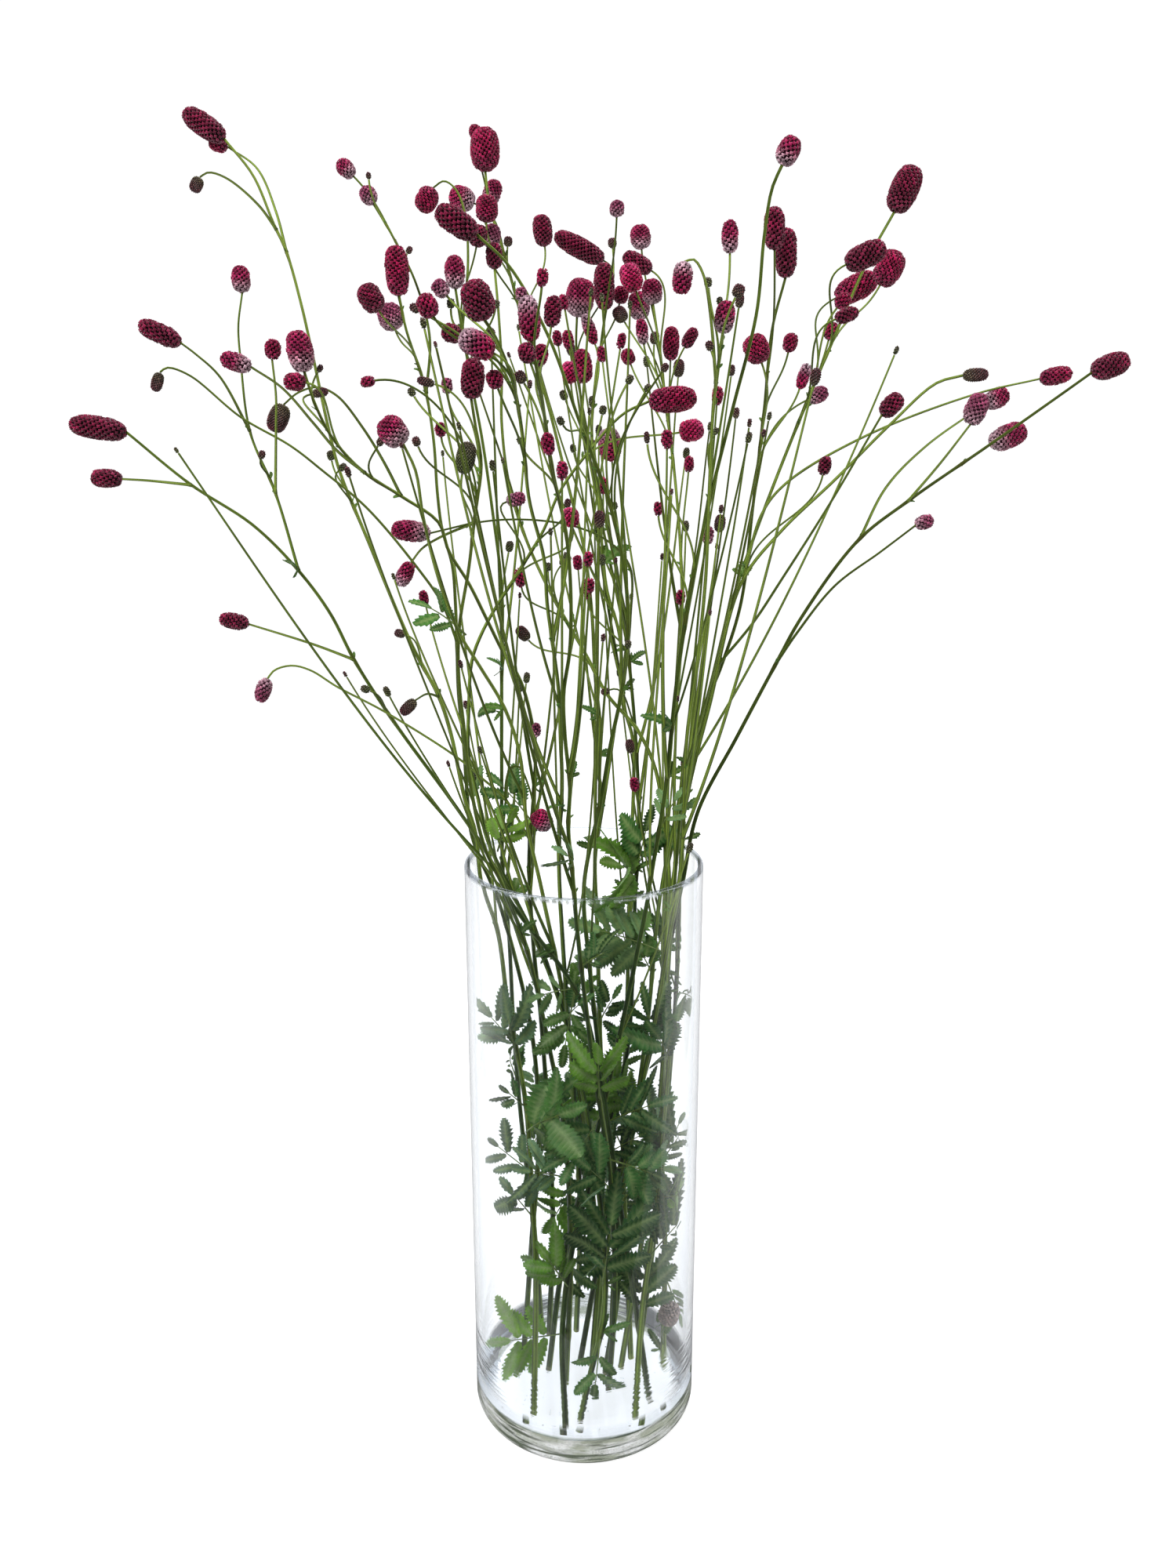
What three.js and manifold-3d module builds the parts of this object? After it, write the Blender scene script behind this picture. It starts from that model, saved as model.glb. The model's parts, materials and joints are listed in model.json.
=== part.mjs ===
// Cut stems of great burnet standing in a tall clear glass cylinder vase.
//
// Lengths are in millimetres, +Z is up, and the origin is the centre of the vase's underside.
// Each stem is one grown body: its stalk, side branches, twigs, small flower heads and toothed
// leaves are fused. The large flower heads are bodies of their own, seated on their twigs.

import * as THREE from 'three';
import { mergeVertices } from 'three/addons/utils/BufferGeometryUtils.js';
import Module from 'manifold-3d';

const wasm = await Module();
wasm.setup();

// Vase sizes
const VASE_HEIGHT = 390;
const VASE_RADIUS = 75;
const WALL = 3.5;
const BASE_THICKNESS = 15.5;
const HEEL_RADIUS = 9;
const INNER_CORNER = 12;
const VASE_SIDES = 36;

// Stalk, twig and head sizes
const STALK_ROOT = 2.2;
const STALK_TIP = 0.8;
const BRANCH_ROOT = 0.95;
const TWIG_RADIUS = 0.6;
const HEAD_VALLEY = 0.8;
const BLUNT_POWER = 2.6;
const OWN_BODY_LENGTH = 42;
const FINEST_BUD = 13;
const SEAT_GAP = 0.7;
const HEAD_SINK = 1;
const TAPER_POWER = 0.7;
const TWIG_RISE = 0.4;
const TWIG_MEET = 0.35;

// How finely a head is cut up, from the sheet length that each row starts at
const HEAD_DETAIL = [
  { from: 55, sides: 8, rows: 5 },
  { from: OWN_BODY_LENGTH, sides: 8, rows: 4 },
  { from: 30, sides: 6, rows: 4 },
  { from: 20, sides: 6, rows: 3 },
  { from: 0, sides: 4, rows: 3 },
];

// Straight runs along the tubes, and sides around them
const STALK_RUNS = 10;
const STALK_SIDES = 4;
const BRANCH_RUNS = 6;
const TWIG_SIDES = 3;
const LONG_TWIG = 50;

// Leaf sizes
const BLADE = 0.7;
const LEAF_STALK = 1.3;
const LEAF_ARCH = 0.16;
const LEAFLET_LEAN = 38;
const LEAFLET_WIDTH = 0.29;
const SIDE_LEAFLET = 0.64;
const FIRST_LEAFLET = 0.85;
const LEAFLET_GROWTH = 0.15;
const END_LEAFLET_WIDTH = 0.34;
const LONE_LEAFLET_WIDTH = 0.26;
const BULGE_POWER = 0.75;
const TOOTH_SHIFT = 0.2;
const FIRST_PAIR = 0.3;
const LAST_LEAFLET = 0.68;
const BARE_STALK = 0.12;
const NOTCH = 0.68;
const LEAF_BOW = 0.12;
const LEAF_FACE = { towards: 0.8, up: 0.6 };

// Room kept between neighbouring stems, and the room inside the glass
const CLEARANCE = 0.5;
const INNER_ROOM = VASE_RADIUS - WALL - 0.5;
const FOOT_LIFT = 0.8;
const SLIVER = 0.4;
const STRICT_TRIES = 15;
const BALL_SPACING = 3;
const LEAF_BALL = 1;
const LEAF_INSET = 1.6;
const FLOOR_INSET = 2;
const RIM_MARGIN = 0.6;
const LEAF_RIM_MARGIN = 6;

// Where a leaf's rib is sampled, and the shares of a leaf's length that its own stalk is inside of
const RIB_SAMPLES = 20;
const FIRST_RIB_SAMPLE = 3;
const LEAF_ROOT = 0.1;
const LEAF_APART = 0.16;

// The balls along a head: their places, their sizes by its width, and which ones keep apart
const HEAD_BALLS = [
  { share: 0.15, size: 0.4, apart: false },
  { share: 0.38, size: 0.5, apart: true },
  { share: 0.62, size: 0.5, apart: true },
  { share: 0.85, size: 0.4, apart: true },
];

// How a piece is moved to a clear place: its step, in millimetres or degrees, and how many tries
const STALK_MOVE = { step: 4, tries: 41 };
const HEAD_MOVE = { step: 3, tries: 61 };
const LEAF_TURN = { step: THREE.MathUtils.degToRad(9), tries: 39 };

// The stems are set out on a flat sheet seen from one eye, and carried along its lines of sight
const EYE = new THREE.Vector3(2.6, -773, 637);
const EYE_PITCH = THREE.MathUtils.degToRad(14.36);
const SHEET = { midX: 750, midY: 1000, focal: 1643 };

const GREEN = { color: 0x4f7038, roughness: 0.6, metalness: 0 };
const BURGUNDY = { color: 0x6e1238, roughness: 0.85, metalness: 0 };
const CLEAR = {
  color: 0xe8f0f0, roughness: 0.05, metalness: 0, transparent: true, opacity: 0.35,
};

// Each stem is set out in sheet places, across and down.
// path: the stalk from its cut foot up to its top; out: how far its top comes away from the eye.
// heads: [across, down, axis angle, length, width, where its twig leaves the stalk, away],
//   and a head whose twig place is 0 ends the path. Lengths under FINEST_BUD are closed buds a few
//   millimetres long, too fine for these solids.
// limbs: side branches, each starting on the nearest stalk or branch of the same stem.
// leaves: [where it leaves the stalk, tip across, tip down, leaflet pairs, away].
const STEMS = [
  {
    name: 'stem_01', out: 10,
    path: [[827, 1783], [818, 1717], [788, 1518], [766, 1378], [737, 1267], [652, 1149], [621, 1088],
      [583, 1031], [500, 917], [452, 842], [421, 782], [381, 728], [323, 670], [242, 617], [161, 551]],
    heads: [[125, 543, 176, 72, 31, 0, 0], [466, 879, 160, 13, 12, 915, -14]],
    limbs: [
      { out: -17, path: [[242, 617], [189, 613], [155, 611]], heads: [[135, 610, 178, 37, 25, 0, 0]] },
      {
        out: 51, path: [[381, 728], [351, 628], [319, 551], [307, 460], [304, 416], [309, 373]],
        heads: [[307, 355, 95, 32, 25, 0, 0], [334, 580, 75, 12, 11, 612, -7]],
      },
      { out: -31, path: [[319, 551], [280, 480], [250, 452], [230, 437]],
        heads: [[202, 423, 158, 52, 27, 0, 0]] },
      { out: -24, path: [[351, 628], [352, 551], [352, 505], [347, 458]],
        heads: [[348, 445, 85, 24, 22, 0, 0]] },
      { out: -20, path: [[452, 842], [400, 822], [317, 796]], heads: [[297, 791, 172, 34, 22, 0, 0]] },
    ],
    leaves: [[1267, 716, 1352, 2, -6], [1262, 676, 1258, 1, 8], [1690, 842, 1618, 2, -10]],
  },
  {
    name: 'stem_02', out: 160,
    path: [[682, 1802], [684, 1627], [679, 1525], [671, 1407], [648, 1282], [634, 1186], [615, 1131],
      [606, 1060], [593, 1019], [575, 935], [560, 889], [526, 824], [468, 686], [433, 600],
      [419, 546], [397, 444], [384, 387], [366, 323], [349, 285], [323, 224], [286, 177]],
    heads: [[258, 157, 148, 55, 30, 0, 0], [510, 808, 165, 15, 13, 850, -11],
      [422, 581, 100, 14, 12, 640, 14], [437, 596, 40, 12, 11, 650, -14]],
    limbs: [
      { out: -24, path: [[352, 295], [330, 262], [290, 228], [266, 220], [255, 226]],
        heads: [[250, 235, -110, 22, 18, 0, 0]] },
      { out: 27, path: [[366, 320], [352, 270], [328, 215], [290, 187]],
        heads: [[279, 184, 168, 25, 20, 0, 0]] },
      { out: -20, path: [[560, 889], [545, 885], [530, 893]], heads: [[519, 905, -140, 19, 17, 0, 0]] },
    ],
    leaves: [[1335, 611, 1279, 2, -8], [1345, 676, 1266, 1, -14], [1410, 640, 1386, 2, -10],
      [1548, 641, 1503, 1, -10]],
  },
  {
    name: 'stem_03', out: 40,
    path: [[667, 1738], [678, 1581], [687, 1452], [680, 1330], [655, 1215], [628, 1130], [610, 1090],
      [600, 1057], [595, 1000], [591, 943], [585, 885], [583, 828], [581, 770], [577, 721],
      [564, 675], [558, 629], [553, 560], [541, 490], [518, 420], [509, 377]],
    heads: [[506, 345, 94, 64, 32, 0, 0], [473, 380, 122, 38, 32, 470, -32],
      [498, 404, 110, 35, 33, 478, 29], [522, 319, 60, 11, 10, 400, 14]],
    limbs: [
      {
        out: -45,
        path: [[583, 815], [564, 770], [533, 725], [468, 648], [411, 600], [371, 569], [307, 532],
          [242, 479], [213, 469], [204, 475]],
        heads: [[200, 488, -103, 24, 17, 0, 0]],
      },
      {
        out: 40, path: [[544, 500], [548, 430], [530, 360], [500, 300], [476, 260]],
        heads: [[469, 249, 115, 24, 23, 0, 0], [441, 215, 135, 27, 22, 310, 11],
          [470, 224, 95, 10, 9, 285, -9]],
      },
    ],
    leaves: [[1500, 612, 1445, 1, 4], [1020, 579, 988, 0, -6], [1400, 716, 1366, 2, 12]],
  },
  {
    name: 'stem_04', out: 70,
    path: [[740, 1810], [754, 1747], [769, 1684], [772, 1636], [768, 1560], [745, 1400], [715, 1280],
      [680, 1190], [652, 1135], [621, 1069], [610, 1019], [598, 966], [598, 904], [602, 843],
      [614, 809], [633, 774], [660, 732], [694, 675], [713, 629], [755, 571], [795, 528], [828, 512]],
    heads: [[858, 509, 4, 60, 34, 0, 0], [882, 549, 10, 31, 29, 590, -25],
      [728, 660, 100, 25, 23, 745, -25], [658, 637, 15, 24, 19, 725, 18],
      [724, 642, 80, 13, 11, 700, 14]],
    limbs: [],
    leaves: [[1640, 785, 1516, 3, -8], [1700, 757, 1783, 1, -10], [1085, 657, 1034, 1, -8]],
  },
  {
    name: 'stem_05', out: -90,
    path: [[700, 1700], [705, 1560], [700, 1440], [690, 1300], [680, 1200], [675, 1096], [679, 1038],
      [683, 969], [679, 924], [663, 866], [644, 836], [621, 790], [598, 744], [572, 702],
      [560, 667], [512, 633], [464, 602], [425, 560], [403, 518], [388, 474]],
    heads: [[382, 448, 100, 53, 35, 0, 0], [376, 487, 175, 27, 24, 560, -22],
      [408, 501, 10, 22, 14, 545, 22], [408, 470, 60, 11, 10, 520, 11], [486, 562, 60, 16, 12, 612, -14]],
    limbs: [
      { out: -41, path: [[464, 602], [430, 575], [400, 540], [360, 495], [320, 468]],
        heads: [[301, 461, 165, 40, 25, 0, 0]] },
      { out: 37, path: [[512, 633], [490, 590], [463, 546], [430, 505], [405, 494], [380, 501], [362, 516]],
        heads: [[353, 533, -105, 37, 28, 0, 0]] },
      {
        out: -75,
        path: [[677, 1070], [644, 1019], [614, 992], [583, 966], [491, 908], [430, 876], [396, 855],
          [372, 849], [350, 855], [341, 866]],
        heads: [[335, 880, -105, 30, 21, 0, 0]],
      },
      { out: -20, path: [[644, 1019], [646, 995], [652, 979], [662, 978], [675, 1005], [682, 1036]],
        heads: [[690, 1048, -38, 28, 27, 0, 0]] },
    ],
    leaves: [[1052, 621, 998, 1, -8], [1440, 741, 1404, 2, 14]],
  },
  {
    name: 'stem_06', out: -50,
    path: [[722, 1762], [728, 1600], [720, 1440], [700, 1330], [670, 1200], [642, 1130], [618, 1080],
      [600, 1000], [592, 930], [585, 860], [586, 800], [598, 725], [606, 656], [614, 591],
      [606, 540], [601, 508]],
    heads: [[600, 483, 80, 52, 32, 0, 0], [594, 584, 78, 42, 27, 690, -29],
      [531, 563, 110, 14, 13, 660, -14], [562, 548, 95, 18, 16, 640, 14],
      [570, 492, 95, 20, 16, 600, 22], [543, 487, 165, 24, 14, 610, -22],
      [525, 500, 120, 13, 12, 620, 7], [469, 487, 190, 18, 15, 640, -11]],
    limbs: [],
    leaves: [[1500, 657, 1490, 3, -10], [1700, 623, 1712, 2, -6], [1640, 690, 1586, 2, 10]],
  },
  {
    name: 'stem_07', out: -200,
    path: [[735, 1695], [740, 1560], [735, 1440], [725, 1300], [718, 1200], [713, 1096], [717, 1000],
      [715, 943], [713, 885], [706, 828], [698, 770], [694, 713], [675, 637], [667, 560],
      [655, 490], [632, 430], [618, 408]],
    heads: [[609, 384, 108, 54, 42, 0, 0], [608, 439, 152, 48, 35, 540, -32],
      [576, 425, 165, 26, 25, 530, 18], [631, 484, 110, 24, 23, 590, -29],
      [562, 368, 130, 24, 22, 480, 29], [545, 390, 120, 31, 28, 500, -22],
      [529, 393, 150, 15, 14, 520, 7], [575, 387, 90, 14, 13, 470, 36]],
    limbs: [],
    leaves: [[1300, 700, 1238, 1, 10], [1500, 700, 1560, 2, 12]],
  },
  {
    name: 'stem_08', out: -100,
    path: [[776, 1770], [784, 1650], [778, 1500], [756, 1350], [738, 1200], [730, 1111], [725, 1057],
      [727, 1000], [721, 943], [719, 885], [727, 828], [728, 751], [722, 680], [705, 600],
      [690, 500], [678, 435]],
    heads: [[674, 406, 94, 58, 30, 0, 0], [665, 375, 95, 18, 17, 470, 25],
      [692, 354, 85, 23, 17, 470, -18], [705, 397, 84, 39, 24, 510, 32],
      [672, 450, 110, 26, 24, 560, -29], [689, 453, 78, 28, 22, 550, 22],
      [664, 481, 120, 18, 17, 590, 11], [699, 566, 95, 28, 19, 680, -22],
      [663, 562, 110, 11, 10, 640, 11]],
    limbs: [],
    leaves: [[1232, 786, 1208, 2, -10], [1400, 762, 1330, 2, -12], [1515, 722, 1462, 1, -12],
      [1106, 690, 1074, 1, -6]],
  },
  {
    name: 'stem_09', out: 30,
    path: [[690, 1690], [680, 1560], [665, 1440], [655, 1330], [648, 1200], [641, 1100], [640, 981],
      [640, 866], [640, 751], [628, 650], [615, 560], [600, 480], [586, 400], [581, 368]],
    heads: [[580, 347, 92, 42, 27, 0, 0], [610, 301, 80, 28, 24, 430, 25],
      [633, 388, 80, 12, 11, 480, -14], [650, 697, 80, 15, 12, 780, 11]],
    limbs: [
      { out: 44, path: [[590, 425], [597, 330], [592, 268], [580, 240], [566, 231], [552, 240]],
        heads: [[543, 254, -112, 33, 29, 0, 0]] },
    ],
    leaves: [[1380, 640, 1330, 2, 8], [1480, 700, 1420, 2, 12]],
  },
  {
    name: 'stem_10', out: -150,
    path: [[765, 1700], [760, 1560], [740, 1400], [715, 1250], [690, 1130], [672, 1050], [663, 962],
      [644, 904], [612, 850], [585, 806], [560, 740], [540, 660], [530, 600], [514, 566]],
    heads: [[503, 552, 130, 45, 38, 0, 0]],
    limbs: [],
    leaves: [[812, 530, 766, 1, -6], [908, 606, 904, 0, 6], [1590, 800, 1530, 2, 14]],
  },
  {
    name: 'stem_11', out: 110,
    path: [[755, 1740], [765, 1600], [770, 1450], [765, 1300], [762, 1180], [759, 1096], [767, 1012],
      [763, 981], [765, 924], [759, 859], [755, 782], [745, 700], [725, 620], [700, 520],
      [670, 420], [645, 330], [624, 260], [619, 218]],
    heads: [[618, 190, 90, 55, 39, 0, 0], [606, 168, 100, 18, 17, 250, 22],
      [589, 253, 158, 33, 30, 330, 22], [628, 245, 70, 32, 24, 330, 43],
      [621, 266, 88, 34, 30, 370, -32], [648, 308, 85, 14, 13, 390, 14],
      [692, 294, 98, 40, 26, 430, 32], [627, 301, 85, 30, 24, 400, -14]],
    limbs: [],
    leaves: [[1300, 790, 1250, 2, 12], [1460, 800, 1400, 2, 16]],
  },
  {
    name: 'stem_12', out: 90,
    path: [[805, 1730], [800, 1600], [795, 1450], [800, 1300], [803, 1180], [805, 1096], [807, 943],
      [797, 904], [790, 809], [774, 751], [763, 629], [755, 560], [760, 480], [770, 420], [771, 395]],
    heads: [[771, 365, 92, 60, 28, 0, 0], [752, 420, 110, 40, 17, 520, 18],
      [743, 467, 97, 43, 26, 560, -25], [792, 376, 80, 22, 21, 470, 25],
      [787, 266, 88, 21, 20, 450, -22], [781, 310, 95, 14, 13, 420, 14], [769, 619, 92, 22, 13, 720, -14]],
    limbs: [
      {
        out: -80,
        path: [[797, 880], [804, 790], [803, 722], [775, 690], [735, 672], [690, 664], [640, 663],
          [600, 668], [570, 675], [549, 680]],
        heads: [[525, 677, 175, 51, 28, 0, 0], [784, 645, 100, 11, 10, 730, 11]],
      },
      { out: -10, path: [[600, 668], [560, 686], [538, 700], [524, 718]],
        heads: [[515, 733, -112, 30, 22, 0, 0]] },
    ],
    leaves: [[1360, 795, 1298, 2, 8], [1160, 800, 1118, 1, 8]],
  },
  {
    name: 'stem_13', out: 190,
    path: [[722, 1819], [718, 1690], [733, 1577], [744, 1536], [781, 1415], [800, 1340], [808, 1230],
      [811, 1135], [815, 1050], [812, 960], [806, 880], [795, 780], [780, 690], [760, 620],
      [748, 560], [740, 500], [735, 440], [736, 404]],
    heads: [[737, 380, 75, 51, 38, 0, 0], [739, 316, 152, 70, 27, 460, 29],
      [727, 475, 95, 28, 23, 580, -32], [731, 572, 100, 12, 10, 650, 14],
      [756, 567, 80, 13, 11, 640, 25], [778, 567, 97, 42, 30, 680, -36],
      [749, 751, 92, 27, 12, 850, -14], [719, 504, 110, 14, 12, 590, 18]],
    limbs: [],
    leaves: [[1245, 799, 1160, 1, -8], [1640, 690, 1590, 2, -8], [1480, 830, 1440, 2, -10],
      [1110, 830, 1036, 1, -8]],
  },
  {
    name: 'stem_14', out: 70,
    path: [[846, 1742], [849, 1581], [845, 1450], [850, 1300], [850, 1150], [847, 1057], [836, 981],
      [813, 931], [774, 885], [748, 836], [706, 763], [672, 690], [650, 620], [640, 540],
      [640, 470], [636, 400], [631, 343]],
    heads: [[630, 326, 92, 33, 22, 0, 0], [663, 737, 100, 24, 15, 800, -18],
      [721, 715, 50, 18, 14, 785, 18], [699, 723, 90, 12, 11, 790, -11],
      [667, 808, 130, 22, 17, 850, 14], [772, 882, 200, 12, 11, 925, -11]],
    limbs: [],
    leaves: [[1625, 872, 1690, 3, -8], [1480, 884, 1440, 2, 6]],
  },
  {
    name: 'stem_15', out: 160,
    path: [[809, 1807], [818, 1673], [833, 1562], [844, 1452], [855, 1323], [851, 1194], [854, 1135],
      [851, 1057], [855, 943], [862, 904], [870, 790], [868, 700], [860, 600], [850, 520],
      [842, 450], [833, 388]],
    heads: [[831, 372, 92, 32, 27, 0, 0], [817, 302, 95, 31, 27, 450, 25],
      [813, 335, 150, 40, 24, 460, -18], [805, 354, 110, 37, 29, 480, -40],
      [815, 390, 100, 36, 28, 510, 32], [791, 401, 120, 22, 20, 520, 14],
      [819, 423, 98, 32, 17, 540, -25], [835, 431, 85, 17, 14, 530, 18],
      [856, 438, 88, 43, 22, 570, 29], [880, 431, 60, 28, 18, 580, -22],
      [801, 455, 110, 20, 19, 590, 22], [879, 592, 85, 20, 14, 720, 14]],
    limbs: [],
    leaves: [[1352, 793, 1299, 2, -12], [1600, 884, 1532, 3, -10], [1440, 800, 1400, 1, -10]],
  },
  {
    name: 'stem_16', out: -20,
    path: [[818, 1706], [838, 1560], [850, 1440], [862, 1300], [868, 1200], [870, 1100], [872, 1012],
      [895, 912], [920, 850], [945, 770], [960, 650], [975, 520], [985, 420], [1002, 354]],
    heads: [[1010, 322, 103, 65, 30, 0, 0], [988, 291, 90, 55, 29, 480, -32],
      [965, 445, 110, 37, 34, 570, -32], [1008, 437, 78, 24, 20, 540, 22],
      [1025, 480, 72, 33, 17, 600, -18], [1043, 504, 25, 27, 22, 620, 18],
      [1052, 594, 78, 24, 18, 730, -18]],
    limbs: [],
    leaves: [[1230, 868, 1160, 2, 6], [1560, 800, 1500, 2, 8], [1100, 872, 1050, 1, 8]],
  },
  {
    name: 'stem_17', out: -130,
    path: [[780, 1713], [788, 1560], [810, 1430], [835, 1300], [855, 1180], [868, 1110], [876, 943],
      [889, 847], [900, 740], [905, 620], [910, 520], [922, 425]],
    heads: [[926, 405, 86, 43, 27, 0, 0], [903, 360, 95, 14, 13, 470, 14],
      [942, 371, 65, 19, 18, 470, -18], [931, 302, 90, 42, 23, 450, 29],
      [918, 384, 95, 12, 11, 440, 25], [905, 441, 110, 14, 13, 520, -14]],
    limbs: [
      { out: -24, path: [[914, 490], [906, 400], [897, 350], [885, 331], [873, 334]],
        heads: [[868, 354, -90, 42, 27, 0, 0]] },
    ],
    leaves: [[1540, 828, 1490, 1, -6]],
  },
  {
    name: 'stem_18', out: -90,
    path: [[740, 1735], [765, 1600], [800, 1450], [835, 1320], [856, 1200], [871, 1125], [890, 1036],
      [940, 940], [988, 850], [1022, 788], [1094, 690], [1160, 638], [1260, 569], [1365, 495],
      [1393, 475]],
    heads: [[1416, 466, 18, 50, 32, 0, 0]],
    limbs: [
      { out: -41, path: [[1160, 638], [1200, 590], [1238, 541]], heads: [[1246, 521, 72, 40, 30, 0, 0]] },
      { out: 34, path: [[1225, 593], [1263, 566]], heads: [[1285, 556, 20, 50, 32, 0, 0]] },
      { out: -51, path: [[990, 845], [1016, 808], [1065, 747], [1123, 704], [1168, 670]],
        heads: [[1179, 666, 20, 23, 20, 0, 0]] },
      { out: 51, path: [[1094, 687], [1130, 622], [1180, 570], [1257, 515]],
        heads: [[1272, 507, 25, 30, 27, 0, 0]] },
    ],
    leaves: [[1330, 884, 1270, 2, -8], [1560, 730, 1500, 1, 8]],
  },
  {
    name: 'stem_19', out: 5,
    path: [[792, 1742], [822, 1560], [842, 1400], [850, 1280], [856, 1180], [862, 1100], [880, 1000],
      [905, 900], [946, 743], [996, 678], [1065, 612], [1137, 540], [1194, 489], [1228, 479]],
    heads: [[1244, 478, 2, 34, 19, 0, 0]],
    limbs: [
      { out: 51, path: [[948, 740], [972, 655], [1002, 617], [1100, 558], [1243, 503], [1327, 483]],
        heads: [[1347, 478, 7, 40, 24, 0, 0]] },
      { out: -51, path: [[925, 850], [960, 795], [999, 736], [1060, 640], [1125, 529]],
        heads: [[1138, 516, 45, 32, 26, 0, 0]] },
    ],
    leaves: [[1500, 884, 1400, 2, 8]],
  },
  {
    name: 'stem_20', out: 60,
    path: [[757, 1722], [780, 1560], [810, 1420], [828, 1290], [838, 1180], [848, 1110], [872, 1000],
      [905, 880], [930, 780], [960, 690], [1010, 560], [1060, 440], [1108, 330], [1141, 270]],
    heads: [[1155, 241, 68, 62, 38, 0, 0], [1104, 326, 25, 55, 33, 450, -36],
      [1134, 342, 62, 48, 36, 450, 32], [1092, 367, 27, 57, 34, 500, 36],
      [1075, 384, 50, 22, 20, 510, -18], [1080, 402, 20, 30, 20, 520, -32],
      [1060, 422, 75, 23, 21, 540, 14]],
    limbs: [],
    leaves: [[1240, 810, 1190, 1, 8]],
  },
  {
    name: 'stem_21', out: -110,
    path: [[700, 1745], [720, 1600], [760, 1450], [790, 1320], [815, 1200], [830, 1120], [850, 1000],
      [862, 880], [880, 760], [905, 640], [935, 520], [965, 400], [975, 300], [985, 240], [998, 210]],
    heads: [[1006, 193, 68, 40, 30, 0, 0], [913, 550, 60, 11, 10, 640, -11],
      [839, 649, 95, 18, 12, 790, 14], [825, 558, 95, 17, 10, 740, -11]],
    limbs: [],
    leaves: [[1400, 735, 1372, 1, 6], [1060, 872, 1010, 1, 6]],
  },
  {
    name: 'stem_22', out: -130,
    path: [[772, 1750], [790, 1620], [780, 1480], [765, 1350], [752, 1230], [745, 1130], [767, 1019],
      [778, 954], [797, 859], [800, 760], [780, 650], [740, 540], [700, 430], [650, 340], [608, 299]],
    heads: [[582, 283, 148, 60, 34, 0, 0], [801, 822, 80, 12, 11, 880, -9],
      [803, 484, 60, 14, 12, 640, -14], [826, 495, 60, 12, 11, 680, 14],
      [848, 469, 55, 13, 12, 660, -25], [769, 523, 80, 13, 12, 600, 18],
      [715, 537, 120, 13, 12, 560, -18]],
    limbs: [],
    leaves: [[1290, 705, 1270, 2, 10], [1500, 742, 1446, 1, -10]],
  },
];

// The line of sight through a sheet place
function sight(across, down) {
  const u = (across - SHEET.midX) / SHEET.focal;
  const v = (SHEET.midY - down) / SHEET.focal;
  const level = Math.cos(EYE_PITCH) + v * Math.sin(EYE_PITCH);
  return new THREE.Vector3(u, level, v * Math.cos(EYE_PITCH) - Math.sin(EYE_PITCH));
}

// The point of a sheet place at a given distance away, in y
function atDepth(across, down, y) {
  const ray = sight(across, down);
  return ray.multiplyScalar((y - EYE.y) / ray.y).add(EYE);
}

// The point of a sheet place at a given height, in z
function atHeight(across, down, z) {
  const ray = sight(across, down);
  return ray.multiplyScalar((z - EYE.z) / ray.z).add(EYE);
}

// How far down the sheet a point lies, and how far across
function onSheet(point) {
  const from = point.clone().sub(EYE);
  const ahead = from.y * Math.cos(EYE_PITCH) - from.z * Math.sin(EYE_PITCH);
  const above = from.y * Math.sin(EYE_PITCH) + from.z * Math.cos(EYE_PITCH);
  return {
    across: SHEET.midX + SHEET.focal * from.x / ahead,
    down: SHEET.midY - SHEET.focal * above / ahead,
    scale: ahead / SHEET.focal,
  };
}

// A closed three.js geometry as a solid
function toSolid(geometry) {
  const bare = geometry.index ? geometry.toNonIndexed() : geometry;
  bare.deleteAttribute('normal');
  bare.deleteAttribute('uv');
  const welded = mergeVertices(bare, 1e-4);
  const mesh = new wasm.Mesh({
    numProp: 3,
    vertProperties: new Float32Array(welded.attributes.position.array),
    triVerts: new Uint32Array(welded.index.array),
  });
  return new wasm.Manifold(mesh);
}

// A solid back as a three.js geometry
function toGeometry(solid) {
  const mesh = solid.getMesh();
  const geometry = new THREE.BufferGeometry();
  const position = new THREE.BufferAttribute(new Float32Array(mesh.vertProperties), 3);
  geometry.setAttribute('position', position);
  geometry.setIndex(new THREE.BufferAttribute(new Uint32Array(mesh.triVerts), 1));
  geometry.computeVertexNormals();
  return geometry;
}

// The glass: a turned shell with a thick base, a round heel, an inner corner and a soft rim
function vaseGeometry() {
  const inner = VASE_RADIUS - WALL;
  const lip = WALL / 2;
  const profile = [[0, 0], [VASE_RADIUS - HEEL_RADIUS, 0]];
  for (const turn of [30, 60, 90]) {
    const a = THREE.MathUtils.degToRad(turn);
    profile.push([VASE_RADIUS - HEEL_RADIUS * (1 - Math.sin(a)), HEEL_RADIUS * (1 - Math.cos(a))]);
  }
  for (const turn of [0, 60, 120, 180]) {
    const a = THREE.MathUtils.degToRad(turn);
    const r = VASE_RADIUS - lip + lip * Math.cos(a);
    profile.push([r, VASE_HEIGHT - lip + lip * Math.sin(a)]);
  }
  for (const turn of [0, 45, 90]) {
    const a = THREE.MathUtils.degToRad(turn);
    const r = inner - INNER_CORNER * (1 - Math.cos(a));
    profile.push([r, BASE_THICKNESS + INNER_CORNER * (1 - Math.sin(a))]);
  }
  profile.push([0, BASE_THICKNESS]);
  const points = profile.map(([r, z]) => new THREE.Vector2(r, z));
  return new THREE.LatheGeometry(points, VASE_SIDES).rotateX(Math.PI / 2);
}

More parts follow.
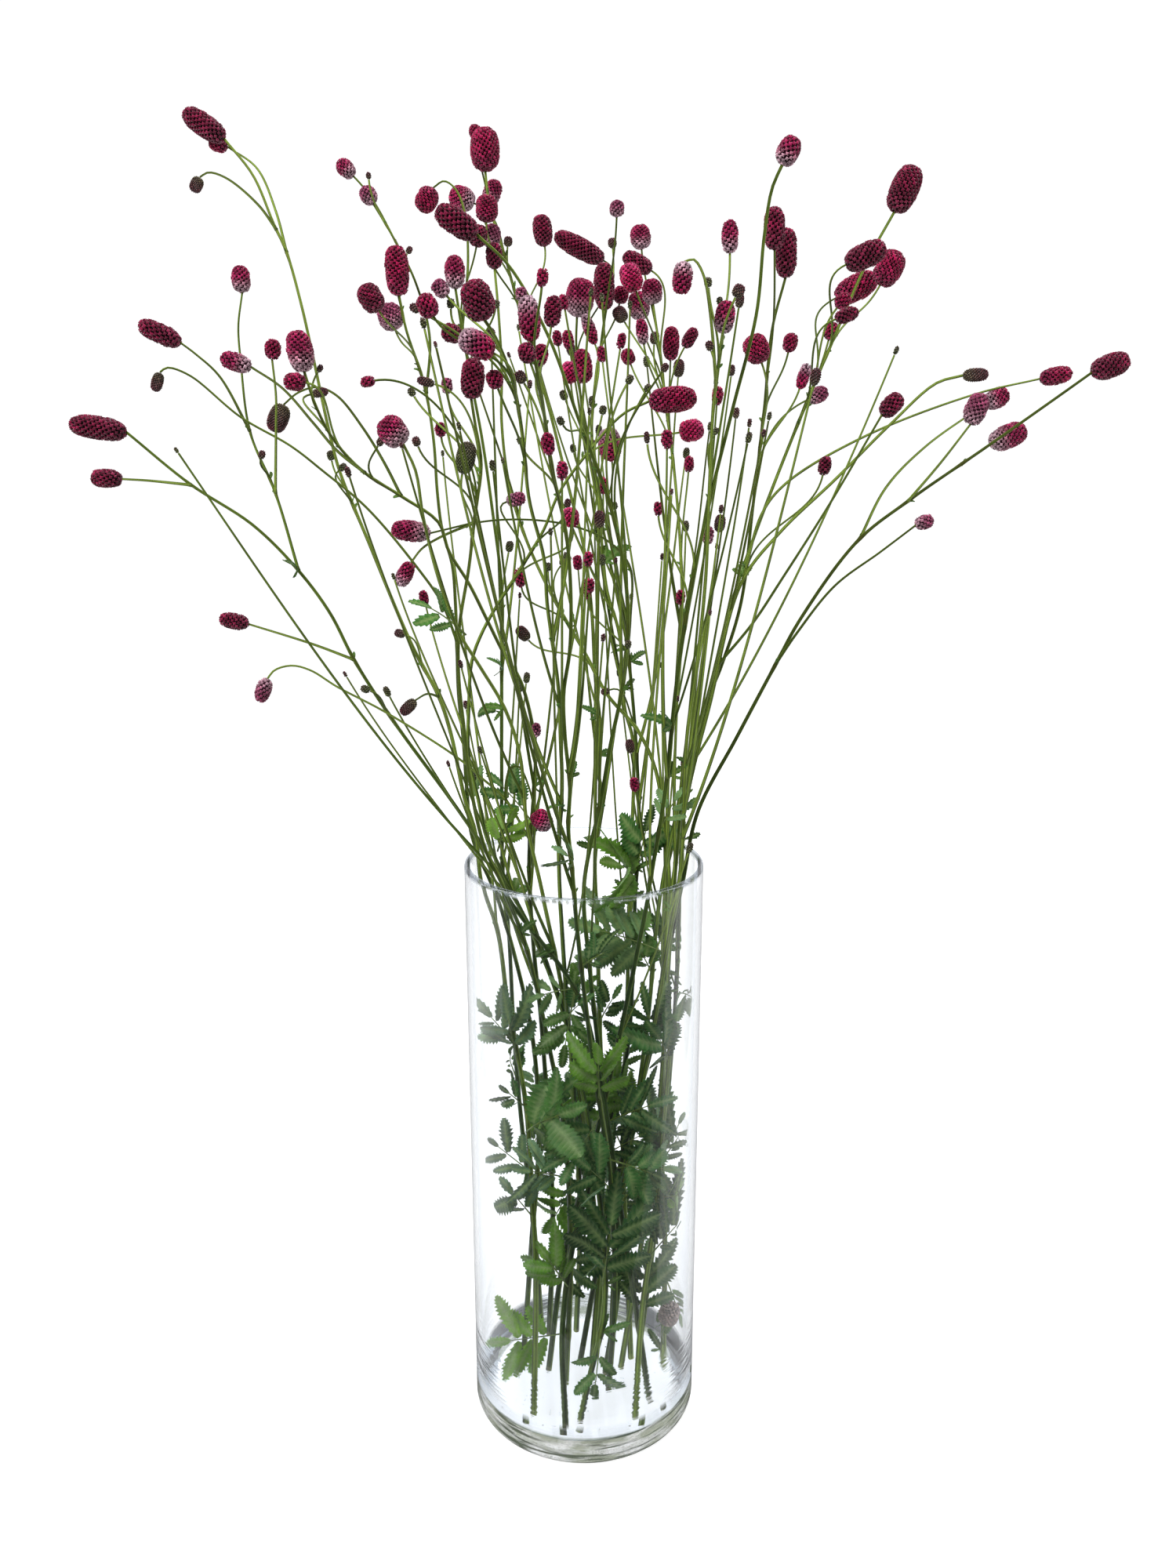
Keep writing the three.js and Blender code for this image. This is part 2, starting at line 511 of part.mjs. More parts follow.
// A tapering stalk along a curve
function stalkGeometry(curve, steps, sides, rootRadius, tipRadius) {
  const section = new THREE.Shape();
  for (let i = 0; i < sides; i += 1) {
    const a = (i / sides) * Math.PI * 2;
    const x = Math.cos(a) * rootRadius;
    const y = Math.sin(a) * rootRadius;
    if (i === 0) section.moveTo(x, y);
    else section.lineTo(x, y);
  }
  section.closePath();
  const tube = new THREE.ExtrudeGeometry(section, {
    steps, extrudePath: curve, bevelEnabled: false, curveSegments: 1,
  });
  const rings = curve.getSpacedPoints(steps);
  const corner = new THREE.Vector3();
  const position = tube.attributes.position;
  for (let i = 0; i < position.count; i += 1) {
    corner.fromBufferAttribute(position, i);
    let nearest = 0;
    for (let k = 1; k < rings.length; k += 1) {
      if (rings[k].distanceTo(corner) < rings[nearest].distanceTo(corner)) nearest = k;
    }
    const share = Math.pow(nearest / steps, TAPER_POWER);
    const scale = 1 + (tipRadius / rootRadius - 1) * share;
    corner.sub(rings[nearest]).multiplyScalar(scale).add(rings[nearest]);
    position.setXYZ(i, corner.x, corner.y, corner.z);
  }
  return tube;
}

// A flower head: a blunt spindle whose florets stand out in staggered rows
function headGeometry(base, tip, width, sides, rows) {
  const spindle = new THREE.SphereGeometry(1, sides, rows);
  const position = spindle.attributes.position;
  const long = tip.distanceTo(base);
  for (let i = 0; i < position.count; i += 1) {
    const row = Math.floor(i / (sides + 1));
    const column = i % (sides + 1);
    const along = position.getY(i);
    const around = Math.hypot(position.getX(i), position.getZ(i));
    const floret = (row + column) % 2 === 0 ? 1 : HEAD_VALLEY;
    const blunt = Math.pow(1 - Math.pow(Math.abs(along), BLUNT_POWER), 1 / BLUNT_POWER);
    const r = around > 1e-6 ? (blunt * floret * width) / 2 / around : 0;
    position.setXYZ(i, position.getX(i) * r, (along * long) / 2, position.getZ(i) * r);
  }
  const axis = tip.clone().sub(base).normalize();
  const turn = new THREE.Quaternion().setFromUnitVectors(new THREE.Vector3(0, 1, 0), axis);
  spindle.applyQuaternion(turn);
  const middle = base.clone().add(tip).multiplyScalar(0.5);
  return spindle.translate(middle.x, middle.y, middle.z);
}

function isSolidHead(spec) {
  return spec[3] >= FINEST_BUD;
}

// How many sides and rows a head of a given sheet length has
function headDetail(length) {
  return HEAD_DETAIL.find(({ from }) => length >= from);
}

// One edge of a leaflet from its foot to its tip: teeth with notches between them
function leafletEdge(length, halfWidth, corners, side) {
  const edge = [];
  for (let i = 1; i <= corners; i += 1) {
    const tooth = i % 2 === 1;
    const along = (i + (tooth ? TOOTH_SHIFT : 0)) / (corners + 1);
    const bulge = Math.sin(Math.PI * Math.pow(along, BULGE_POWER));
    edge.push([along * length, side * halfWidth * bulge * (tooth ? 1 : NOTCH)]);
  }
  return edge;
}

// A pinnate leaf's outline, cut to the rib between its leaflets; y runs along the rib
function leafOutline(length, pairs) {
  const rib = LEAF_STALK / 2;
  const first = pairs > 0 ? FIRST_PAIR : BARE_STALK;
  const step = pairs > 0 ? (LAST_LEAFLET - first) / pairs : 0;
  const lean = THREE.MathUtils.degToRad(LEAFLET_LEAN);
  const half = [];
  for (let k = 0; k < pairs; k += 1) {
    const foot = length * (first + step * k);
    const share = FIRST_LEAFLET + LEAFLET_GROWTH * k;
    const own = (length * share * SIDE_LEAFLET) / Math.sqrt(pairs + 1);
    const wide = own * LEAFLET_WIDTH;
    const place = ([along, over]) => [
      rib + along * Math.cos(lean) - over * Math.sin(lean),
      foot + along * Math.sin(lean) + over * Math.cos(lean),
    ];
    half.push([rib, foot]);
    for (const point of leafletEdge(own, wide, 2, -1)) half.push(place(point));
    half.push(place([own, 0]));
    half.push(place(leafletEdge(own, wide, 1, 1)[0]));
  }
  const last = length * (pairs > 0 ? LAST_LEAFLET : first);
  const endLength = length - last;
  half.push([rib, last]);
  const endWide = endLength * (pairs > 0 ? END_LEAFLET_WIDTH : LONE_LEAFLET_WIDTH);
  const corners = pairs > 0 ? 2 : 4;
  for (const [along, over] of leafletEdge(endLength, endWide, corners, 1)) half.push([over, last + along]);
  const mirrored = [...half].reverse().map(([x, y]) => [-x, y]);
  return [[rib, 0], ...half, [0, length], ...mirrored, [-rib, 0]];
}

// Where a spot of a leaf's blade comes in the bouquet, arched and kept inside the glass
function leafSpot(frame, x, y) {
  const across = LEAF_ARCH * Math.abs(x);
  const along = frame.length * LEAF_BOW * Math.sin((Math.PI * y) / frame.length);
  const spot = frame.foot.clone()
    .addScaledVector(frame.side, x)
    .addScaledVector(frame.rib, y)
    .addScaledVector(frame.face, along - across);
  const reach = Math.hypot(spot.x, spot.y);
  const room = INNER_ROOM - LEAF_INSET;
  if (spot.z < VASE_HEIGHT + LEAF_RIM_MARGIN && reach > room) {
    spot.x *= room / reach;
    spot.y *= room / reach;
  }
  spot.z = Math.max(spot.z, BASE_THICKNESS + FLOOR_INSET);
  return spot;
}

function leafGeometry(frame, pairs) {
  const shape = new THREE.Shape(leafOutline(frame.length, pairs).map(([x, y]) => new THREE.Vector2(x, y)));
  const blade = new THREE.ExtrudeGeometry(shape, { depth: BLADE, steps: 1, bevelEnabled: false });
  const position = blade.attributes.position;
  for (let i = 0; i < position.count; i += 1) {
    const spot = leafSpot(frame, position.getX(i), position.getY(i));
    spot.addScaledVector(frame.face, position.getZ(i) - BLADE / 2);
    position.setXYZ(i, spot.x, spot.y, spot.z);
  }
  return blade;
}

// The leaf's own axes: its rib from foot to tip, its face towards the eye, and its side
function leafFrame(foot, tip) {
  const rib = tip.clone().sub(foot);
  const length = rib.length();
  rib.normalize();
  const { towards, up } = LEAF_FACE;
  const face = new THREE.Vector3(0, -towards, up)
    .addScaledVector(rib, towards * rib.y - up * rib.z)
    .normalize();
  const side = new THREE.Vector3().crossVectors(rib, face);
  return { foot, rib, face, side, length };
}

// Room keeping: every placed body is a row of balls, and a new one may touch none of another stem
const taken = [];

function ballsOn(course, radiusAt) {
  return course.map(({ x, y, z }, i) => ({ x, y, z, r: radiusAt(i / (course.length - 1)) }));
}

// A large head is a body of its own, which its stem's other twigs and leaves keep clear of too
function headBalls(base, tip, width, length) {
  const body = length >= OWN_BODY_LENGTH ? 'bloom' : undefined;
  return HEAD_BALLS.map(({ share, size, apart }) => {
    const at = base.clone().lerp(tip, share);
    return { x: at.x, y: at.y, z: at.z, r: width * size, apart, body };
  });
}

function leafBalls(frame, pairs) {
  const spots = [];
  const outline = leafOutline(frame.length, pairs);
  outline.forEach(([x, y], i) => {
    if (y <= frame.length * LEAF_ROOT) return;
    const [lastX, lastY] = outline[i - 1];
    spots.push([x, y], [x / 2, y], [(x + lastX) / 2, (y + lastY) / 2]);
  });
  for (let k = FIRST_RIB_SAMPLE; k <= RIB_SAMPLES; k += 1) {
    spots.push([0, (frame.length * k) / RIB_SAMPLES]);
  }
  return spots.map(([x, y]) => {
    const at = leafSpot(frame, x, y);
    return { x: at.x, y: at.y, z: at.z, r: LEAF_BALL, apart: y > frame.length * LEAF_APART };
  });
}

function isClear(balls, owner, strict) {
  for (const ball of balls) {
    const reach = Math.hypot(ball.x, ball.y) + ball.r;
    if (ball.z - ball.r < VASE_HEIGHT + RIM_MARGIN && reach > INNER_ROOM) return false;
    for (const other of taken) {
      if (other.owner === owner && !(strict && ball.apart)) continue;
      const gap = ball.r + other.r + CLEARANCE;
      const dz = ball.z - other.z;
      if (dz > gap || dz < -gap) continue;
      const dx = ball.x - other.x;
      const dy = ball.y - other.y;
      if (dx * dx + dy * dy + dz * dz < gap * gap) return false;
    }
  }
  return true;
}

// Tries 0, +step, -step, +2 step and so on, and keeps the first that is clear. The first tries
// also keep the balls marked apart clear of the stem's own stalk, twigs and leaves.
function firstClear({ step, tries }, owner, make) {
  for (const strict of [true, false]) {
    for (let i = 0; i < (strict ? STRICT_TRIES : tries); i += 1) {
      const made = make(step * Math.ceil(i / 2) * (i % 2 === 1 ? 1 : -1));
      if (isClear(made.balls, owner, strict)) {
        for (const ball of made.balls) taken.push({ ...ball, owner: ball.body ?? owner });
        return made;
      }
    }
  }
  return null;
}

// The stalk's course: its foot on the vase's floor, then away from the eye by its share of the length
function stalkPoints(path, away, foot) {
  const lengths = [0];
  for (let i = 1; i < path.length; i += 1) {
    const step = Math.hypot(path[i][0] - path[i - 1][0], path[i][1] - path[i - 1][1]);
    lengths.push(lengths[i - 1] + step);
  }
  const whole = lengths[lengths.length - 1];
  return path.map(([across, down], i) => {
    if (i === 0) return foot.clone();
    return atDepth(across, down, foot.y + (away * lengths[i]) / whole);
  });
}

// The base and tip of a head from its sheet place, at a given depth
function headEnds([across, down, angle, length], y) {
  const a = THREE.MathUtils.degToRad(angle);
  const dx = (Math.cos(a) * length) / 2;
  const dy = (Math.sin(a) * length) / 2;
  return {
    base: atDepth(across - dx, down + dy, y),
    tip: atDepth(across + dx, down - dy, y),
  };
}

// The place on a limb that lies nearest to a sheet place, or at a given place down the sheet
function nearestOn(limbs, across, down) {
  let best = null;
  for (const limb of limbs) {
    limb.course.forEach((point, i) => {
      const place = onSheet(point);
      const off = Math.hypot((across === null ? 0 : place.across - across), place.down - down);
      if (best === null || off < best.off) best = { off, point, limb, i };
    });
  }
  const next = best.limb.course[Math.min(best.i + 1, best.limb.course.length - 1)];
  const last = best.limb.course[Math.max(best.i - 1, 0)];
  return { point: best.point, along: next.clone().sub(last).normalize() };
}

// Evenly spaced spots on the straight runs between a tube's own rings
function runBetween(rings, spacing) {
  const course = [];
  for (let i = 1; i < rings.length; i += 1) {
    const count = Math.max(1, Math.round(rings[i].distanceTo(rings[i - 1]) / spacing));
    for (let k = 0; k < count; k += 1) course.push(rings[i - 1].clone().lerp(rings[i], k / count));
  }
  course.push(rings[rings.length - 1].clone());
  return course;
}

// A stalk or branch with the head that ends it
function makeLimb(points, steps, sides, rootRadius, tipRadius, heads) {
  const curve = new THREE.CatmullRomCurve3(points, false, 'centripetal');
  const course = runBetween(curve.getSpacedPoints(steps), BALL_SPACING);
  const radiusAt = (share) => rootRadius + (tipRadius - rootRadius) * Math.pow(share, TAPER_POWER);
  const balls = ballsOn(course, radiusAt);
  const end = course[course.length - 1];
  const last = heads.find((spec) => spec[5] === 0);
  const { tip } = headEnds(last, end.y);
  const wide = last[4] * onSheet(end).scale;
  balls.push(...headBalls(end, tip, wide, last[3]));
  return { curve, course, steps, sides, rootRadius, tipRadius, balls, head: { base: end, tip, wide } };
}

// A twig leaves its limb, bends over and meets the head along the head's own axis
function makeTwig(root, ends) {
  const span = ends.base.distanceTo(root.point);
  const axis = ends.tip.clone().sub(ends.base).normalize();
  const rise = root.point.clone().addScaledVector(root.along, span * TWIG_RISE);
  const meet = ends.base.clone().addScaledVector(axis, -span * TWIG_MEET);
  const curve = new THREE.CubicBezierCurve3(root.point, rise, meet, ends.base);
  const steps = span > LONG_TWIG ? 3 : 2;
  const course = runBetween(curve.getSpacedPoints(steps), BALL_SPACING);
  return { curve, course, steps, balls: ballsOn(course, () => TWIG_RADIUS) };
}

const bouquet = new THREE.Group();
let bloomCount = 0;

function addBody(name, geometry, look) {
  const mesh = new THREE.Mesh(geometry, new THREE.MeshStandardMaterial(look));
  mesh.name = name;
  bouquet.add(mesh);
}

const grown = STEMS.map((stem) => ({ stem, limbs: [], solids: [], blooms: [] }));

// All main stalks take their room first
for (const plant of grown) {
  const { name, path, out } = plant.stem;
  const foot = atHeight(path[0][0], path[0][1], BASE_THICKNESS + FOOT_LIFT);
  const limb = firstClear(STALK_MOVE, name, (shift) => {
    const points = stalkPoints(path, out + shift, foot);
    return makeLimb(points, STALK_RUNS, STALK_SIDES, STALK_ROOT, STALK_TIP, plant.stem.heads);
  });
  if (limb === null) throw new Error(`no room for the stalk of ${name}`);
  plant.limbs.push(limb);
}

// Then the side branches
for (const plant of grown) {
  for (const spec of plant.stem.limbs) {
    const root = nearestOn(plant.limbs, spec.path[0][0], spec.path[0][1]);
    const runs = Math.min(BRANCH_RUNS, spec.path.length);
    const limb = firstClear(STALK_MOVE, plant.stem.name, (shift) => {
      const points = stalkPoints(spec.path, spec.out + shift, root.point);
      return makeLimb(points, runs, TWIG_SIDES, BRANCH_ROOT, TWIG_RADIUS, spec.heads);
    });
    if (limb === null) throw new Error(`no room for a branch of ${plant.stem.name}`);
    plant.limbs.push(limb);
  }
}

// A head joins its stem, or is a body of its own just clear of its twig when it is large
function addHead(plant, { base, tip, wide }, length) {
  const { sides, rows } = headDetail(length);
  const axis = tip.clone().sub(base).normalize();
  if (length >= OWN_BODY_LENGTH) {
    const seat = base.clone().addScaledVector(axis, SEAT_GAP);
    plant.blooms.push(headGeometry(seat, tip, wide, sides, rows));
  } else {
    const sunk = base.clone().addScaledVector(axis, -HEAD_SINK);
    plant.solids.push(toSolid(headGeometry(sunk, tip, wide, sides, rows)));
  }
}

// A head on a twig of its own swings towards the eye or away until it is clear
function addTwigHead(plant, limb, spec) {
  const [across, down, , length, width, twigPlace, away] = spec;
  const root = nearestOn([limb], null, twigPlace);
  const placed = firstClear(HEAD_MOVE, plant.stem.name, (shift) => {
    const ends = headEnds(spec, root.point.y + away + shift);
    const wide = width * onSheet(ends.base).scale;
    const twig = makeTwig(root, ends);
    const balls = [...headBalls(ends.base, ends.tip, wide, length), ...twig.balls.slice(2)];
    return { head: { ...ends, wide }, twig, balls };
  });
  if (placed === null) throw new Error(`no room for the head at ${across}, ${down} of ${plant.stem.name}`);
  addHead(plant, placed.head, length);
  const { curve, steps } = placed.twig;
  plant.solids.push(toSolid(stalkGeometry(curve, steps, TWIG_SIDES, TWIG_RADIUS, TWIG_RADIUS)));
}

function addHeads(plant, limb, heads) {
  for (const spec of heads.filter(isSolidHead)) {
    if (spec[5] === 0) addHead(plant, limb.head, spec[3]);
    else addTwigHead(plant, limb, spec);
  }
}

for (const plant of grown) {
  addHeads(plant, plant.limbs[0], plant.stem.heads);
  plant.stem.limbs.forEach((spec, i) => addHeads(plant, plant.limbs[i + 1], spec.heads));
}

// Leaves turn round their stalk until they are clear
for (const plant of grown) {
  for (const [place, tipAcross, tipDown, pairs, away] of plant.stem.leaves) {
    const root = nearestOn([plant.limbs[0]], null, place);
    const tip = atDepth(tipAcross, tipDown, root.point.y + away);
    const reach = tip.sub(root.point);
    const leaf = firstClear(LEAF_TURN, plant.stem.name, (turn) => {
      const arm = reach.clone().applyAxisAngle(root.along, turn);
      const frame = leafFrame(root.point, root.point.clone().add(arm));
      return { frame, balls: leafBalls(frame, pairs) };
    });
    if (leaf !== null) plant.solids.push(toSolid(leafGeometry(leaf.frame, pairs)));
    else console.warn(`no room for a leaf of ${plant.stem.name} at ${place}`);
  }
}

for (const plant of grown) {
  for (const limb of plant.limbs) {
    const tube = stalkGeometry(limb.curve, limb.steps, limb.sides, limb.rootRadius, limb.tipRadius);
    plant.solids.push(toSolid(tube));
  }
  const fused = plant.solids.reduce((sum, solid) => sum.add(solid)).simplify(SLIVER);
  const whole = fused.decompose().reduce((best, body) => (body.volume() > best.volume() ? body : best));
  addBody(plant.stem.name, toGeometry(whole), GREEN);
  for (const bloom of plant.blooms) {
    bloomCount += 1;
    addBody(`bloom_${String(bloomCount).padStart(2, '0')}`, toGeometry(toSolid(bloom)), BURGUNDY);
  }
}

addBody('vase', toGeometry(toSolid(vaseGeometry())), CLEAR);

export default bouquet;
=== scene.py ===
"""Cut stems of great burnet standing in a tall clear glass cylinder vase, dressed for the render.

The stalks, branches, flower heads and leaves take the places that they have in the solids: the
same sheet places, carried along the same lines of sight, and the same search for clear room.
Lengths are in millimetres while the bouquet is laid out, and in metres in the finished meshes.
"""
import json
import logging
import math
from dataclasses import dataclass, field
from enum import Enum
from random import Random
from typing import Callable, Optional, Sequence

import bpy
import numpy as np
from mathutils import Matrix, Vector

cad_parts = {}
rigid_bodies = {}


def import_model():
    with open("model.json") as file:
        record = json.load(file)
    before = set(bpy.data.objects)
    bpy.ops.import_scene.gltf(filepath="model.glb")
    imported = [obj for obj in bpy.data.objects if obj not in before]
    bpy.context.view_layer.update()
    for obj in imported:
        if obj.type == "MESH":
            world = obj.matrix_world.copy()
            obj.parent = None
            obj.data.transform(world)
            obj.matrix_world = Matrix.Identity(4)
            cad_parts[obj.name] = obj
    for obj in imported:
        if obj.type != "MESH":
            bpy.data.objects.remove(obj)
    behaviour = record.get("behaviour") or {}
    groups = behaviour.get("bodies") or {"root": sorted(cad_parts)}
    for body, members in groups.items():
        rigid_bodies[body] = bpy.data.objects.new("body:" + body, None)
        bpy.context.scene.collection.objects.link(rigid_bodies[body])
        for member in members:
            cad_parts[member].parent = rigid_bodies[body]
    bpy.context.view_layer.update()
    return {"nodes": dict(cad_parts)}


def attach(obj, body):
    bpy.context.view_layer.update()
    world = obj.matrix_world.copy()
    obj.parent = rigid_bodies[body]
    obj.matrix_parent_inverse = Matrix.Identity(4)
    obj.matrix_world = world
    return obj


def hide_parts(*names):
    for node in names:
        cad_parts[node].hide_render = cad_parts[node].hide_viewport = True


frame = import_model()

LOG = logging.getLogger("burnet")
METRE = 0.001
FULL_TURN = 2 * math.pi
FINE_STEPS = 400
WHITE = (1.0, 1.0, 1.0, 1.0)
PATTERN_LIMITS = (0.3, 0.7)
Socket = bpy.types.NodeSocket
Material = bpy.types.Material
Values = np.ndarray | float
Array = np.ndarray

# Sizes shared with the solids, in millimetres
VASE_HEIGHT = 390.0
VASE_RADIUS = 75.0
WALL = 3.5
BASE_THICKNESS = 15.5
HEEL_RADIUS = 9.0
INNER_CORNER = 12.0
STALK_ROOT = 2.2
STALK_TIP = 0.8
BRANCH_ROOT = 0.95
TWIG_RADIUS = 0.6
TAPER_POWER = 0.7
BLUNT_POWER = 2.6
OWN_BODY_LENGTH = 42
FINEST_BUD = 13

# The coarse runs of the solid tubes, which the search for room walks along, and a twig's bend
STALK_RUNS = 10
BRANCH_RUNS = 6
LONG_TWIG = 50
LONG_TWIG_RUNS = 3
TWIG_RUNS = 2
TWIG_RISE = 0.4
TWIG_MEET = 0.35

# The solid leaf's outline, which the search for room samples
LEAF_STALK = 1.3
LEAF_ARCH = 0.16
LEAF_BOW = 0.12
LEAF_FACE = (0.8, 0.6)
LEAFLET_LEAN = math.radians(38)
LEAFLET_WIDTH = 0.29
SIDE_LEAFLET = 0.64
FIRST_LEAFLET = 0.85
LEAFLET_GROWTH = 0.15
END_LEAFLET_WIDTH = 0.34
LONE_LEAFLET_WIDTH = 0.26
FIRST_PAIR = 0.3
LAST_LEAFLET = 0.68
BARE_STALK = 0.12
NOTCH = 0.68
TOOTH_SHIFT = 0.2
BULGE_POWER = 0.75

# Room kept between neighbouring stems, and the room inside the glass
CLEARANCE = 0.5
INNER_ROOM = VASE_RADIUS - WALL - 0.5
RIM_MARGIN = 0.6
LEAF_RIM_MARGIN = 6
FOOT_LIFT = 0.8
STRICT_TRIES = 15
BALL_SPACING = 3.0
ROOT_BALLS = 2
LEAF_BALL = 1.0
LEAF_INSET = 1.6
FLOOR_INSET = 2.0
SEARCH_MARGIN = 12

# The balls that stand for a head: their places along it, and their radii in shares of its width
HEAD_PLACES = (0.15, 0.38, 0.62, 0.85)
HEAD_RADII = (0.4, 0.5, 0.5, 0.4)
HEAD_FREE = 0.3

# The spots of a leaf that are tried for room: from which share of its length, and along its rib
LEAF_ROOT = 0.1
LEAF_APART = 0.16
RIB_SAMPLES = 20
FIRST_RIB_SAMPLE = 3

# Thin side shoots: how many each stalk tries, where they stand, and their sizes and angles
SHOOT_ROUNDS = 5
SHOOT_TOP = 715.0
SHOOT_LEFT = 625
SHOOT_RIGHT = 880
SHOOT_HEIGHTS = (230, 620, 430)
SHOOT_LENGTHS = (110, 300)
SHOOT_LEANS = (4, 15)
SHOOT_BENDS = (0.1, 0.35)
SHOOT_BUDS = (9, 10, 12, 15, 19, 23)
SHOOT_THICKNESS = (1.1, 2.2)
SHOOT_TIP = 0.9
SHOOT_FLARE = 1.6
SHOOT_RISE = 0.35
SHOOT_MEET = 0.3
SHOOT_RUNS = 6
BUD_SLIMNESS = 0.7

# More leaves inside the vase: how often each stalk tries one, and where and how it may reach
FILL_ROUNDS = 4
FILL_MIDDLE = (20.0, -6.0)
FILL_REACH = 42.0
FILL_LEFT = 660
FILL_HEIGHTS = (62, 385, 200)
FILL_RISES = (-35, 50)
FILL_LENGTHS = (38, 72)
FILL_PAIRS = (1, 2, 2, 3)

# Knots above the vase: up to where and how often one carries a small leaf, and the bracts' sizes
SMALL_LEAF_TOP = 590.0
SMALL_LEAF_CHANCE = 0.3
SMALL_LEAF_LENGTHS = (8, 20)
BRACT_LENGTHS = (1.8, 4.0)


@dataclass(frozen=True)
class Moves:
    """The size of one move in search of a clear place, and the most places that are tried."""

    step: float
    tries: int


STALK_MOVE = Moves(4.0, 41)
HEAD_MOVE = Moves(3.0, 61)
LEAF_TURN = Moves(math.radians(9), 39)
SHOOT_TURN = Moves(math.radians(24), 15)


@dataclass(frozen=True)
class HeadPlan:
    """A flower head's place on the sheet.

    Attributes:
        across: Its middle, across the sheet.
        down: Its middle, down the sheet.
        angle: Its axis from foot to tip, in degrees from level.
        length: Its length on the sheet.
        width: Its width on the sheet.
        twig_place: Where its twig leaves the stalk, down the sheet, or 0 at the stalk's own end.
        away: How far it stands behind its twig's root, in millimetres.
    """

    across: float
    down: float
    angle: float
    length: float
    width: float
    twig_place: float
    away: float


@dataclass(frozen=True)
class BranchPlan:
    """A side branch.

    Attributes:
        out: How far its end goes back, in millimetres.
        path: Its course on the sheet, root first.
        heads: Its heads, as the values of HeadPlan.
    """

    out: float
    path: tuple
    heads: tuple


@dataclass(frozen=True)
class StemPlan:
    """A cut stem.

    Attributes:
        name: Its name.
        out: How far its top goes back, in millimetres.
        path: Its course on the sheet, foot first.
        heads: Its heads, as the values of HeadPlan.
        leaves: Its leaves: where each leaves the stalk, its tip across and down, its pairs of
            leaflets and how far back its tip goes.
        branches: Its side branches.
    """

    name: str
    out: float
    path: tuple
    heads: tuple
    leaves: tuple
    branches: tuple = ()


